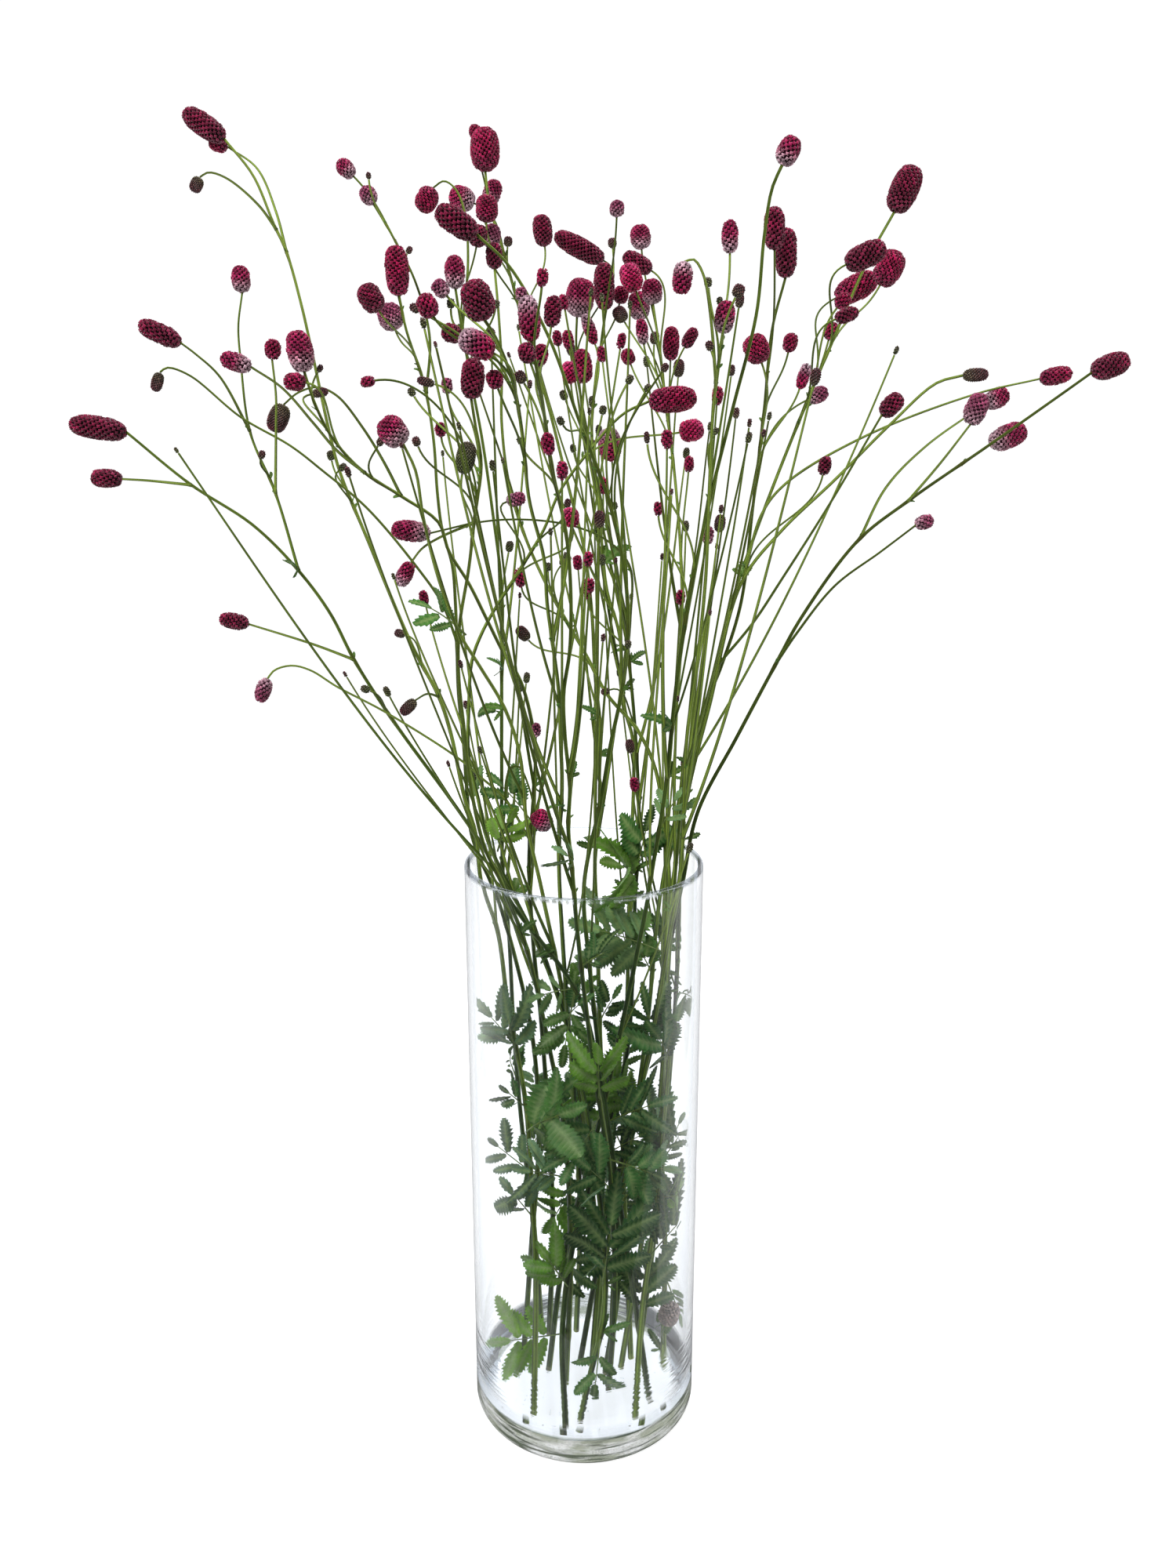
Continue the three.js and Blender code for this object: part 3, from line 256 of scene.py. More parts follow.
# Sheet places, foot first, with heads as HeadPlan values
STEMS = (
    StemPlan("stem_01", 10,
        path=((827, 1783), (818, 1717), (788, 1518), (766, 1378), (737, 1267), (652, 1149), (621, 1088),
            (583, 1031), (500, 917), (452, 842), (421, 782), (381, 728), (323, 670), (242, 617),
            (161, 551)),
        heads=((125, 543, 176, 72, 31, 0, 0), (466, 879, 160, 13, 12, 915, -14)),
        branches=(
            BranchPlan(-17, path=((242, 617), (189, 613), (155, 611)),
                heads=((135, 610, 178, 37, 25, 0, 0),)),
            BranchPlan(51, path=((381, 728), (351, 628), (319, 551), (307, 460), (304, 416), (309, 373)),
                heads=((307, 355, 95, 32, 25, 0, 0), (334, 580, 75, 12, 11, 612, -7))),
            BranchPlan(-31, path=((319, 551), (280, 480), (250, 452), (230, 437)),
                heads=((202, 423, 158, 52, 27, 0, 0),)),
            BranchPlan(-24, path=((351, 628), (352, 551), (352, 505), (347, 458)),
                heads=((348, 445, 85, 24, 22, 0, 0),)),
            BranchPlan(-20, path=((452, 842), (400, 822), (317, 796)),
                heads=((297, 791, 172, 34, 22, 0, 0),)),
        ),
        leaves=((1267, 716, 1352, 2, -6), (1262, 676, 1258, 1, 8), (1690, 842, 1618, 2, -10))),
    StemPlan("stem_02", 160,
        path=((682, 1802), (684, 1627), (679, 1525), (671, 1407), (648, 1282), (634, 1186), (615, 1131),
            (606, 1060), (593, 1019), (575, 935), (560, 889), (526, 824), (468, 686), (433, 600),
            (419, 546), (397, 444), (384, 387), (366, 323), (349, 285), (323, 224), (286, 177)),
        heads=((258, 157, 148, 55, 30, 0, 0), (510, 808, 165, 15, 13, 850, -11),
            (422, 581, 100, 14, 12, 640, 14), (437, 596, 40, 12, 11, 650, -14)),
        branches=(
            BranchPlan(-24, path=((352, 295), (330, 262), (290, 228), (266, 220), (255, 226)),
                heads=((250, 235, -110, 22, 18, 0, 0),)),
            BranchPlan(27, path=((366, 320), (352, 270), (328, 215), (290, 187)),
                heads=((279, 184, 168, 25, 20, 0, 0),)),
            BranchPlan(-20, path=((560, 889), (545, 885), (530, 893)),
                heads=((519, 905, -140, 19, 17, 0, 0),)),
        ),
        leaves=((1335, 611, 1279, 2, -8), (1345, 676, 1266, 1, -14), (1410, 640, 1386, 2, -10),
            (1548, 641, 1503, 1, -10))),
    StemPlan("stem_03", 40,
        path=((667, 1738), (678, 1581), (687, 1452), (680, 1330), (655, 1215), (628, 1130), (610, 1090),
            (600, 1057), (595, 1000), (591, 943), (585, 885), (583, 828), (581, 770), (577, 721),
            (564, 675), (558, 629), (553, 560), (541, 490), (518, 420), (509, 377)),
        heads=((506, 345, 94, 64, 32, 0, 0), (473, 380, 122, 38, 32, 470, -32),
            (498, 404, 110, 35, 33, 478, 29), (522, 319, 60, 11, 10, 400, 14)),
        branches=(
            BranchPlan(-45, path=((583, 815), (564, 770), (533, 725), (468, 648), (411, 600), (371, 569),
                (307, 532), (242, 479), (213, 469), (204, 475)), heads=((200, 488, -103, 24, 17, 0, 0),)),
            BranchPlan(40, path=((544, 500), (548, 430), (530, 360), (500, 300), (476, 260)),
                heads=((469, 249, 115, 24, 23, 0, 0), (441, 215, 135, 27, 22, 310, 11),
                    (470, 224, 95, 10, 9, 285, -9))),
        ),
        leaves=((1500, 612, 1445, 1, 4), (1020, 579, 988, 0, -6), (1400, 716, 1366, 2, 12))),
    StemPlan("stem_04", 70,
        path=((740, 1810), (754, 1747), (769, 1684), (772, 1636), (768, 1560), (745, 1400), (715, 1280),
            (680, 1190), (652, 1135), (621, 1069), (610, 1019), (598, 966), (598, 904), (602, 843),
            (614, 809), (633, 774), (660, 732), (694, 675), (713, 629), (755, 571), (795, 528), (828, 512)),
        heads=((858, 509, 4, 60, 34, 0, 0), (882, 549, 10, 31, 29, 590, -25),
            (728, 660, 100, 25, 23, 745, -25), (658, 637, 15, 24, 19, 725, 18),
            (724, 642, 80, 13, 11, 700, 14)),
        leaves=((1640, 785, 1516, 3, -8), (1700, 757, 1783, 1, -10), (1085, 657, 1034, 1, -8))),
    StemPlan("stem_05", -90,
        path=((700, 1700), (705, 1560), (700, 1440), (690, 1300), (680, 1200), (675, 1096), (679, 1038),
            (683, 969), (679, 924), (663, 866), (644, 836), (621, 790), (598, 744), (572, 702), (560, 667),
            (512, 633), (464, 602), (425, 560), (403, 518), (388, 474)),
        heads=((382, 448, 100, 53, 35, 0, 0), (376, 487, 175, 27, 24, 560, -22),
            (408, 501, 10, 22, 14, 545, 22), (408, 470, 60, 11, 10, 520, 11),
            (486, 562, 60, 16, 12, 612, -14)),
        branches=(
            BranchPlan(-41, path=((464, 602), (430, 575), (400, 540), (360, 495), (320, 468)),
                heads=((301, 461, 165, 40, 25, 0, 0),)),
            BranchPlan(37, path=((512, 633), (490, 590), (463, 546), (430, 505), (405, 494), (380, 501),
                (362, 516)), heads=((353, 533, -105, 37, 28, 0, 0),)),
            BranchPlan(-75, path=((677, 1070), (644, 1019), (614, 992), (583, 966), (491, 908), (430, 876),
                (396, 855), (372, 849), (350, 855), (341, 866)), heads=((335, 880, -105, 30, 21, 0, 0),)),
            BranchPlan(-20, path=((644, 1019), (646, 995), (652, 979), (662, 978), (675, 1005),
                (682, 1036)), heads=((690, 1048, -38, 28, 27, 0, 0),)),
        ),
        leaves=((1052, 621, 998, 1, -8), (1440, 741, 1404, 2, 14))),
    StemPlan("stem_06", -50,
        path=((722, 1762), (728, 1600), (720, 1440), (700, 1330), (670, 1200), (642, 1130), (618, 1080),
            (600, 1000), (592, 930), (585, 860), (586, 800), (598, 725), (606, 656), (614, 591), (606, 540),
            (601, 508)),
        heads=((600, 483, 80, 52, 32, 0, 0), (594, 584, 78, 42, 27, 690, -29),
            (531, 563, 110, 14, 13, 660, -14), (562, 548, 95, 18, 16, 640, 14),
            (570, 492, 95, 20, 16, 600, 22), (543, 487, 165, 24, 14, 610, -22),
            (525, 500, 120, 13, 12, 620, 7), (469, 487, 190, 18, 15, 640, -11)),
        leaves=((1500, 657, 1490, 3, -10), (1700, 623, 1712, 2, -6), (1640, 690, 1586, 2, 10))),
    StemPlan("stem_07", -200,
        path=((735, 1695), (740, 1560), (735, 1440), (725, 1300), (718, 1200), (713, 1096), (717, 1000),
            (715, 943), (713, 885), (706, 828), (698, 770), (694, 713), (675, 637), (667, 560), (655, 490),
            (632, 430), (618, 408)),
        heads=((609, 384, 108, 54, 42, 0, 0), (608, 439, 152, 48, 35, 540, -32),
            (576, 425, 165, 26, 25, 530, 18), (631, 484, 110, 24, 23, 590, -29),
            (562, 368, 130, 24, 22, 480, 29), (545, 390, 120, 31, 28, 500, -22),
            (529, 393, 150, 15, 14, 520, 7), (575, 387, 90, 14, 13, 470, 36)),
        leaves=((1300, 700, 1238, 1, 10), (1500, 700, 1560, 2, 12))),
    StemPlan("stem_08", -100,
        path=((776, 1770), (784, 1650), (778, 1500), (756, 1350), (738, 1200), (730, 1111), (725, 1057),
            (727, 1000), (721, 943), (719, 885), (727, 828), (728, 751), (722, 680), (705, 600), (690, 500),
            (678, 435)),
        heads=((674, 406, 94, 58, 30, 0, 0), (665, 375, 95, 18, 17, 470, 25),
            (692, 354, 85, 23, 17, 470, -18), (705, 397, 84, 39, 24, 510, 32),
            (672, 450, 110, 26, 24, 560, -29), (689, 453, 78, 28, 22, 550, 22),
            (664, 481, 120, 18, 17, 590, 11), (699, 566, 95, 28, 19, 680, -22),
            (663, 562, 110, 11, 10, 640, 11)),
        leaves=((1232, 786, 1208, 2, -10), (1400, 762, 1330, 2, -12), (1515, 722, 1462, 1, -12),
            (1106, 690, 1074, 1, -6))),
    StemPlan("stem_09", 30,
        path=((690, 1690), (680, 1560), (665, 1440), (655, 1330), (648, 1200), (641, 1100), (640, 981),
            (640, 866), (640, 751), (628, 650), (615, 560), (600, 480), (586, 400), (581, 368)),
        heads=((580, 347, 92, 42, 27, 0, 0), (610, 301, 80, 28, 24, 430, 25),
            (633, 388, 80, 12, 11, 480, -14), (650, 697, 80, 15, 12, 780, 11)),
        branches=(
            BranchPlan(44, path=((590, 425), (597, 330), (592, 268), (580, 240), (566, 231), (552, 240)),
                heads=((543, 254, -112, 33, 29, 0, 0),)),
        ),
        leaves=((1380, 640, 1330, 2, 8), (1480, 700, 1420, 2, 12))),
    StemPlan("stem_10", -150,
        path=((765, 1700), (760, 1560), (740, 1400), (715, 1250), (690, 1130), (672, 1050), (663, 962),
            (644, 904), (612, 850), (585, 806), (560, 740), (540, 660), (530, 600), (514, 566)),
        heads=((503, 552, 130, 45, 38, 0, 0),),
        leaves=((812, 530, 766, 1, -6), (908, 606, 904, 0, 6), (1590, 800, 1530, 2, 14))),
    StemPlan("stem_11", 110,
        path=((755, 1740), (765, 1600), (770, 1450), (765, 1300), (762, 1180), (759, 1096), (767, 1012),
            (763, 981), (765, 924), (759, 859), (755, 782), (745, 700), (725, 620), (700, 520), (670, 420),
            (645, 330), (624, 260), (619, 218)),
        heads=((618, 190, 90, 55, 39, 0, 0), (606, 168, 100, 18, 17, 250, 22),
            (589, 253, 158, 33, 30, 330, 22), (628, 245, 70, 32, 24, 330, 43),
            (621, 266, 88, 34, 30, 370, -32), (648, 308, 85, 14, 13, 390, 14),
            (692, 294, 98, 40, 26, 430, 32), (627, 301, 85, 30, 24, 400, -14)),
        leaves=((1300, 790, 1250, 2, 12), (1460, 800, 1400, 2, 16))),
    StemPlan("stem_12", 90,
        path=((805, 1730), (800, 1600), (795, 1450), (800, 1300), (803, 1180), (805, 1096), (807, 943),
            (797, 904), (790, 809), (774, 751), (763, 629), (755, 560), (760, 480), (770, 420), (771, 395)),
        heads=((771, 365, 92, 60, 28, 0, 0), (752, 420, 110, 40, 17, 520, 18),
            (743, 467, 97, 43, 26, 560, -25), (792, 376, 80, 22, 21, 470, 25),
            (787, 266, 88, 21, 20, 450, -22), (781, 310, 95, 14, 13, 420, 14),
            (769, 619, 92, 22, 13, 720, -14)),
        branches=(
            BranchPlan(-80, path=((797, 880), (804, 790), (803, 722), (775, 690), (735, 672), (690, 664),
                (640, 663), (600, 668), (570, 675), (549, 680)),
                heads=((525, 677, 175, 51, 28, 0, 0), (784, 645, 100, 11, 10, 730, 11))),
            BranchPlan(-10, path=((600, 668), (560, 686), (538, 700), (524, 718)),
                heads=((515, 733, -112, 30, 22, 0, 0),)),
        ),
        leaves=((1360, 795, 1298, 2, 8), (1160, 800, 1118, 1, 8))),
    StemPlan("stem_13", 190,
        path=((722, 1819), (718, 1690), (733, 1577), (744, 1536), (781, 1415), (800, 1340), (808, 1230),
            (811, 1135), (815, 1050), (812, 960), (806, 880), (795, 780), (780, 690), (760, 620),
            (748, 560), (740, 500), (735, 440), (736, 404)),
        heads=((737, 380, 75, 51, 38, 0, 0), (739, 316, 152, 70, 27, 460, 29),
            (727, 475, 95, 28, 23, 580, -32), (731, 572, 100, 12, 10, 650, 14),
            (756, 567, 80, 13, 11, 640, 25), (778, 567, 97, 42, 30, 680, -36),
            (749, 751, 92, 27, 12, 850, -14), (719, 504, 110, 14, 12, 590, 18)),
        leaves=((1245, 799, 1160, 1, -8), (1640, 690, 1590, 2, -8), (1480, 830, 1440, 2, -10),
            (1110, 830, 1036, 1, -8))),
    StemPlan("stem_14", 70,
        path=((846, 1742), (849, 1581), (845, 1450), (850, 1300), (850, 1150), (847, 1057), (836, 981),
            (813, 931), (774, 885), (748, 836), (706, 763), (672, 690), (650, 620), (640, 540), (640, 470),
            (636, 400), (631, 343)),
        heads=((630, 326, 92, 33, 22, 0, 0), (663, 737, 100, 24, 15, 800, -18),
            (721, 715, 50, 18, 14, 785, 18), (699, 723, 90, 12, 11, 790, -11),
            (667, 808, 130, 22, 17, 850, 14), (772, 882, 200, 12, 11, 925, -11)),
        leaves=((1625, 872, 1690, 3, -8), (1480, 884, 1440, 2, 6))),
    StemPlan("stem_15", 160,
        path=((809, 1807), (818, 1673), (833, 1562), (844, 1452), (855, 1323), (851, 1194), (854, 1135),
            (851, 1057), (855, 943), (862, 904), (870, 790), (868, 700), (860, 600), (850, 520), (842, 450),
            (833, 388)),
        heads=((831, 372, 92, 32, 27, 0, 0), (817, 302, 95, 31, 27, 450, 25),
            (813, 335, 150, 40, 24, 460, -18), (805, 354, 110, 37, 29, 480, -40),
            (815, 390, 100, 36, 28, 510, 32), (791, 401, 120, 22, 20, 520, 14),
            (819, 423, 98, 32, 17, 540, -25), (835, 431, 85, 17, 14, 530, 18),
            (856, 438, 88, 43, 22, 570, 29), (880, 431, 60, 28, 18, 580, -22),
            (801, 455, 110, 20, 19, 590, 22), (879, 592, 85, 20, 14, 720, 14)),
        leaves=((1352, 793, 1299, 2, -12), (1600, 884, 1532, 3, -10), (1440, 800, 1400, 1, -10))),
    StemPlan("stem_16", -20,
        path=((818, 1706), (838, 1560), (850, 1440), (862, 1300), (868, 1200), (870, 1100), (872, 1012),
            (895, 912), (920, 850), (945, 770), (960, 650), (975, 520), (985, 420), (1002, 354)),
        heads=((1010, 322, 103, 65, 30, 0, 0), (988, 291, 90, 55, 29, 480, -32),
            (965, 445, 110, 37, 34, 570, -32), (1008, 437, 78, 24, 20, 540, 22),
            (1025, 480, 72, 33, 17, 600, -18), (1043, 504, 25, 27, 22, 620, 18),
            (1052, 594, 78, 24, 18, 730, -18)),
        leaves=((1230, 868, 1160, 2, 6), (1560, 800, 1500, 2, 8), (1100, 872, 1050, 1, 8))),
    StemPlan("stem_17", -130,
        path=((780, 1713), (788, 1560), (810, 1430), (835, 1300), (855, 1180), (868, 1110), (876, 943),
            (889, 847), (900, 740), (905, 620), (910, 520), (922, 425)),
        heads=((926, 405, 86, 43, 27, 0, 0), (903, 360, 95, 14, 13, 470, 14),
            (942, 371, 65, 19, 18, 470, -18), (931, 302, 90, 42, 23, 450, 29),
            (918, 384, 95, 12, 11, 440, 25), (905, 441, 110, 14, 13, 520, -14)),
        branches=(
            BranchPlan(-24, path=((914, 490), (906, 400), (897, 350), (885, 331), (873, 334)),
                heads=((868, 354, -90, 42, 27, 0, 0),)),
        ),
        leaves=((1540, 828, 1490, 1, -6),)),
    StemPlan("stem_18", -90,
        path=((740, 1735), (765, 1600), (800, 1450), (835, 1320), (856, 1200), (871, 1125), (890, 1036),
            (940, 940), (988, 850), (1022, 788), (1094, 690), (1160, 638), (1260, 569), (1365, 495),
            (1393, 475)),
        heads=((1416, 466, 18, 50, 32, 0, 0),),
        branches=(
            BranchPlan(-41, path=((1160, 638), (1200, 590), (1238, 541)),
                heads=((1246, 521, 72, 40, 30, 0, 0),)),
            BranchPlan(34, path=((1225, 593), (1263, 566)), heads=((1285, 556, 20, 50, 32, 0, 0),)),
            BranchPlan(-51, path=((990, 845), (1016, 808), (1065, 747), (1123, 704), (1168, 670)),
                heads=((1179, 666, 20, 23, 20, 0, 0),)),
            BranchPlan(51, path=((1094, 687), (1130, 622), (1180, 570), (1257, 515)),
                heads=((1272, 507, 25, 30, 27, 0, 0),)),
        ),
        leaves=((1330, 884, 1270, 2, -8), (1560, 730, 1500, 1, 8))),
    StemPlan("stem_19", 5,
        path=((792, 1742), (822, 1560), (842, 1400), (850, 1280), (856, 1180), (862, 1100), (880, 1000),
            (905, 900), (946, 743), (996, 678), (1065, 612), (1137, 540), (1194, 489), (1228, 479)),
        heads=((1244, 478, 2, 34, 19, 0, 0),),
        branches=(
            BranchPlan(51, path=((948, 740), (972, 655), (1002, 617), (1100, 558), (1243, 503),
                (1327, 483)), heads=((1347, 478, 7, 40, 24, 0, 0),)),
            BranchPlan(-51, path=((925, 850), (960, 795), (999, 736), (1060, 640), (1125, 529)),
                heads=((1138, 516, 45, 32, 26, 0, 0),)),
        ),
        leaves=((1500, 884, 1400, 2, 8),)),
    StemPlan("stem_20", 60,
        path=((757, 1722), (780, 1560), (810, 1420), (828, 1290), (838, 1180), (848, 1110), (872, 1000),
            (905, 880), (930, 780), (960, 690), (1010, 560), (1060, 440), (1108, 330), (1141, 270)),
        heads=((1155, 241, 68, 62, 38, 0, 0), (1104, 326, 25, 55, 33, 450, -36),
            (1134, 342, 62, 48, 36, 450, 32), (1092, 367, 27, 57, 34, 500, 36),
            (1075, 384, 50, 22, 20, 510, -18), (1080, 402, 20, 30, 20, 520, -32),
            (1060, 422, 75, 23, 21, 540, 14)),
        leaves=((1240, 810, 1190, 1, 8),)),
    StemPlan("stem_21", -110,
        path=((700, 1745), (720, 1600), (760, 1450), (790, 1320), (815, 1200), (830, 1120), (850, 1000),
            (862, 880), (880, 760), (905, 640), (935, 520), (965, 400), (975, 300), (985, 240), (998, 210)),
        heads=((1006, 193, 68, 40, 30, 0, 0), (913, 550, 60, 11, 10, 640, -11),
            (839, 649, 95, 18, 12, 790, 14), (825, 558, 95, 17, 10, 740, -11)),
        leaves=((1400, 735, 1372, 1, 6), (1060, 872, 1010, 1, 6))),
    StemPlan("stem_22", -130,
        path=((772, 1750), (790, 1620), (780, 1480), (765, 1350), (752, 1230), (745, 1130), (767, 1019),
            (778, 954), (797, 859), (800, 760), (780, 650), (740, 540), (700, 430), (650, 340), (608, 299)),
        heads=((582, 283, 148, 60, 34, 0, 0), (801, 822, 80, 12, 11, 880, -9),
            (803, 484, 60, 14, 12, 640, -14), (826, 495, 60, 12, 11, 680, 14),
            (848, 469, 55, 13, 12, 660, -25), (769, 523, 80, 13, 12, 600, 18),
            (715, 537, 120, 13, 12, 560, -18)),
        leaves=((1290, 705, 1270, 2, 10), (1500, 742, 1446, 1, -10))),
)


class Tone(Enum):
    """How far a flower head has opened and faded."""

    CRIMSON = "crimson"
    BRIGHT = "bright"
    BURGUNDY = "burgundy"
    FADED = "faded"
    FADED_FOOT = "faded foot"
    FADED_TIP = "faded tip"
    GREEN = "green"
    BRONZE = "bronze"
    DRIED = "dried"


# Heads whose colour differs from what their size says, by their sheet place
ODD_TONES = {
    (498, 404): Tone.FADED, (674, 406): Tone.FADED_TIP, (805, 354): Tone.BRIGHT,
    (727, 475): Tone.BRIGHT, (728, 660): Tone.BRIGHT, (594, 584): Tone.GREEN,
    (778, 567): Tone.FADED_TIP, (1244, 478): Tone.BRONZE, (743, 467): Tone.CRIMSON,
    (737, 380): Tone.FADED_FOOT, (618, 190): Tone.CRIMSON, (608, 439): Tone.FADED_TIP,
    (627, 301): Tone.FADED, (628, 245): Tone.FADED_FOOT, (692, 294): Tone.BURGUNDY,
    (739, 316): Tone.BURGUNDY, (771, 365): Tone.BURGUNDY, (787, 266): Tone.FADED,
    (817, 302): Tone.FADED_FOOT, (868, 354): Tone.FADED_FOOT, (609, 384): Tone.BURGUNDY,
    (600, 483): Tone.BURGUNDY, (503, 552): Tone.FADED_FOOT, (525, 677): Tone.FADED_FOOT,
    (515, 733): Tone.FADED_TIP, (690, 1048): Tone.FADED_TIP, (382, 448): Tone.FADED_FOOT,
    (1246, 521): Tone.FADED, (1179, 666): Tone.FADED, (1052, 594): Tone.BURGUNDY,
    (202, 423): Tone.BURGUNDY, (125, 543): Tone.BURGUNDY, (258, 157): Tone.BURGUNDY,
    (1025, 480): Tone.FADED_TIP, (1043, 504): Tone.FADED, (931, 302): Tone.FADED_FOOT,
    (926, 405): Tone.FADED_FOOT, (752, 420): Tone.FADED_TIP, (705, 397): Tone.BURGUNDY,
    (858, 509): Tone.CRIMSON, (882, 549): Tone.BRIGHT, (965, 445): Tone.CRIMSON,
    (297, 791): Tone.BURGUNDY, (335, 880): Tone.FADED, (353, 533): Tone.BRONZE,
    (200, 488): Tone.BRONZE, (250, 235): Tone.BRONZE, (441, 215): Tone.FADED_FOOT,
    (470, 224): Tone.BRONZE, (469, 249): Tone.FADED, (307, 355): Tone.FADED_FOOT,
    (853, 1674): Tone.DRIED,
}

# Leaves that are younger and yellower than the rest, by their tips' sheet places
FRESH_LEAVES = {(623, 1712): 0.8}

# The dried head low in the vase, and the stem that it hangs on
DRIED_STEM = "stem_14"
DRIED_HEAD = HeadPlan(853, 1674, 70, 27, 27, 1722, -8)


def linear(red: int, green: int, blue: int) -> Array:
    """The linear colour of a display colour given from 0 to 255."""
    share = np.array([red, green, blue]) / 255.0
    return np.where(share <= 0.04045, share / 12.92, ((share + 0.055) / 1.055) ** 2.4)


def opaque(tone: tuple) -> tuple:
    """A display colour as a linear one without any see-through."""
    return (*linear(*tone), 1.0)


def blended(start: Values, end: Values, share: Values) -> Values:
    """A value that is a share of the way from one to another."""
    return start + (end - start) * share


def unit(vector: Array) -> Array:
    """The vector, or each row of a stack of them, at length one."""
    return vector / np.maximum(np.linalg.norm(vector, axis=-1, keepdims=True), 1e-12)


def heading_at(course: Array, i: int) -> Array:
    """The direction of a course at one of its spots."""
    return unit(course[min(i + 1, len(course) - 1)] - course[max(i - 1, 0)])


def rotated(vector: Array, axis: Array, turn: float) -> Array:
    """A vector turned about an axis of length one."""
    return (vector * math.cos(turn) + np.cross(axis, vector) * math.sin(turn)
            + axis * float(axis @ vector) * (1 - math.cos(turn)))


@dataclass(frozen=True)
class Sheet:
    """The flat sheet that the stems are set out on, and the eye that it is seen from.

    Attributes:
        eye: Where the eye is, in millimetres.
        pitch: How far the eye looks down.
        middle: The sheet's middle, across and down.
        focal: The sheet's distance from the eye, in the sheet's own units.
        height: The sheet's height, in the same units.
    """

    eye: tuple[float, float, float] = (2.6, -773.0, 637.0)
    pitch: float = math.radians(14.36)
    middle: tuple[float, float] = (750.0, 1000.0)
    focal: float = 1643.0
    height: float = 2000.0

    def sight(self, across: float, down: float) -> Array:
        """The direction in which a sheet place is seen.

        Args:
            across: The place across.
            down: The place down.

        Returns:
            The direction, not at length one.
        """
        side = (across - self.middle[0]) / self.focal
        rise = (self.middle[1] - down) / self.focal
        level = math.cos(self.pitch) + rise * math.sin(self.pitch)
        return np.array([side, level, rise * math.cos(self.pitch) - math.sin(self.pitch)])

    def at_depth(self, across: float, down: float, y: float) -> Array:
        """The point of a sheet place at a given distance away, in y."""
        ray = self.sight(across, down)
        return ray * ((y - self.eye[1]) / ray[1]) + np.array(self.eye)

    def at_height(self, across: float, down: float, z: float) -> Array:
        """The point of a sheet place at a given height, in z."""
        ray = self.sight(across, down)
        return ray * ((z - self.eye[2]) / ray[2]) + np.array(self.eye)

    def place(self, points: Array) -> tuple[Array, Array, Array]:
        """Where points lie on the sheet.

        Args:
            points: One point, or a stack of them.

        Returns:
            How far across and down they are, and the millimetres in one unit of the sheet there.
        """
        away = points - np.array(self.eye)
        ahead = away[..., 1] * math.cos(self.pitch) - away[..., 2] * math.sin(self.pitch)
        above = away[..., 1] * math.sin(self.pitch) + away[..., 2] * math.cos(self.pitch)
        across = self.middle[0] + self.focal * away[..., 0] / ahead
        return across, self.middle[1] - self.focal * above / ahead, ahead / self.focal


SHEET = Sheet()


class Curve:
    """A curve that can be walked in even steps."""

    FINENESS = 200

    def at(self, shares: Array) -> Array:
        """The points at shares of the curve's own parameter, from 0 to 1."""
        raise NotImplementedError

    def spaced(self, steps: int) -> Array:
        """Walks the curve in steps of equal length.

        Args:
            steps: How many steps.

        Returns:
            The points at the ends of the steps.
        """
        shares = np.linspace(0.0, 1.0, self.FINENESS + 1)
        runs = np.linalg.norm(np.diff(self.at(shares), axis=0), axis=1)
        lengths = np.concatenate([[0.0], np.cumsum(runs)])
        goals = np.linspace(0.0, lengths[-1], steps + 1)
        return self.at(np.interp(goals, lengths, shares))

    def length(self) -> float:
        """The curve's length in millimetres."""
        points = self.at(np.linspace(0.0, 1.0, self.FINENESS + 1))
        return float(np.linalg.norm(np.diff(points, axis=0), axis=1).sum())


class StalkCurve(Curve):
    """A smooth curve through all its points, as a grown stalk takes."""

    def __init__(self, points: Sequence[Array]) -> None:
        """Keeps the points, with one more beyond each end.

        Args:
            points: The points, root first.
        """
        rows = np.array(points, float)
        before = 2 * rows[0] - rows[1]
        after = 2 * rows[-1] - rows[-2]
        self.points = np.vstack([before, rows, after])
        self.knots = (np.diff(self.points, axis=0) ** 2).sum(1) ** 0.25

    def at(self, shares: Array) -> Array:
        """The points at shares of the curve's own parameter.

        Args:
            shares: The shares, from 0 to 1.

        Returns:
            A point for each.
        """
        spans = len(self.points) - 3
        where = np.asarray(shares) * spans
        span = np.clip(np.floor(where).astype(int), 0, spans - 1)
        part = (where - span)[:, None]
        p0, p1, p2, p3 = (self.points[span + k] for k in range(4))
        d0, d1, d2 = (self.knots[span + k][:, None] for k in range(3))
        start = ((p1 - p0) / d0 - (p2 - p0) / (d0 + d1) + (p2 - p1) / d1) * d1
        end = ((p2 - p1) / d1 - (p3 - p1) / (d1 + d2) + (p3 - p2) / d2) * d1
        square = 3 * (p2 - p1) - 2 * start - end
        cube = 2 * (p1 - p2) + start + end
        return p1 + part * (start + part * (square + part * cube))


class TwigCurve(Curve):
    """A bend from a twig's root to its head."""

    def __init__(self, root: Array, rise: Array, meet: Array, end: Array) -> None:
        """Keeps the bend's four handles."""
        self.handles = np.array([root, rise, meet, end], float)

    def at(self, shares: Array) -> Array:
        """The points at shares of the curve's own parameter.

        Args:
            shares: The shares, from 0 to 1.

        Returns:
            A point for each.
        """
        t = np.asarray(shares)[:, None]
        s = 1 - t
        root, rise, meet, end = self.handles
        return s ** 3 * root + 3 * s * s * t * rise + 3 * s * t * t * meet + t ** 3 * end


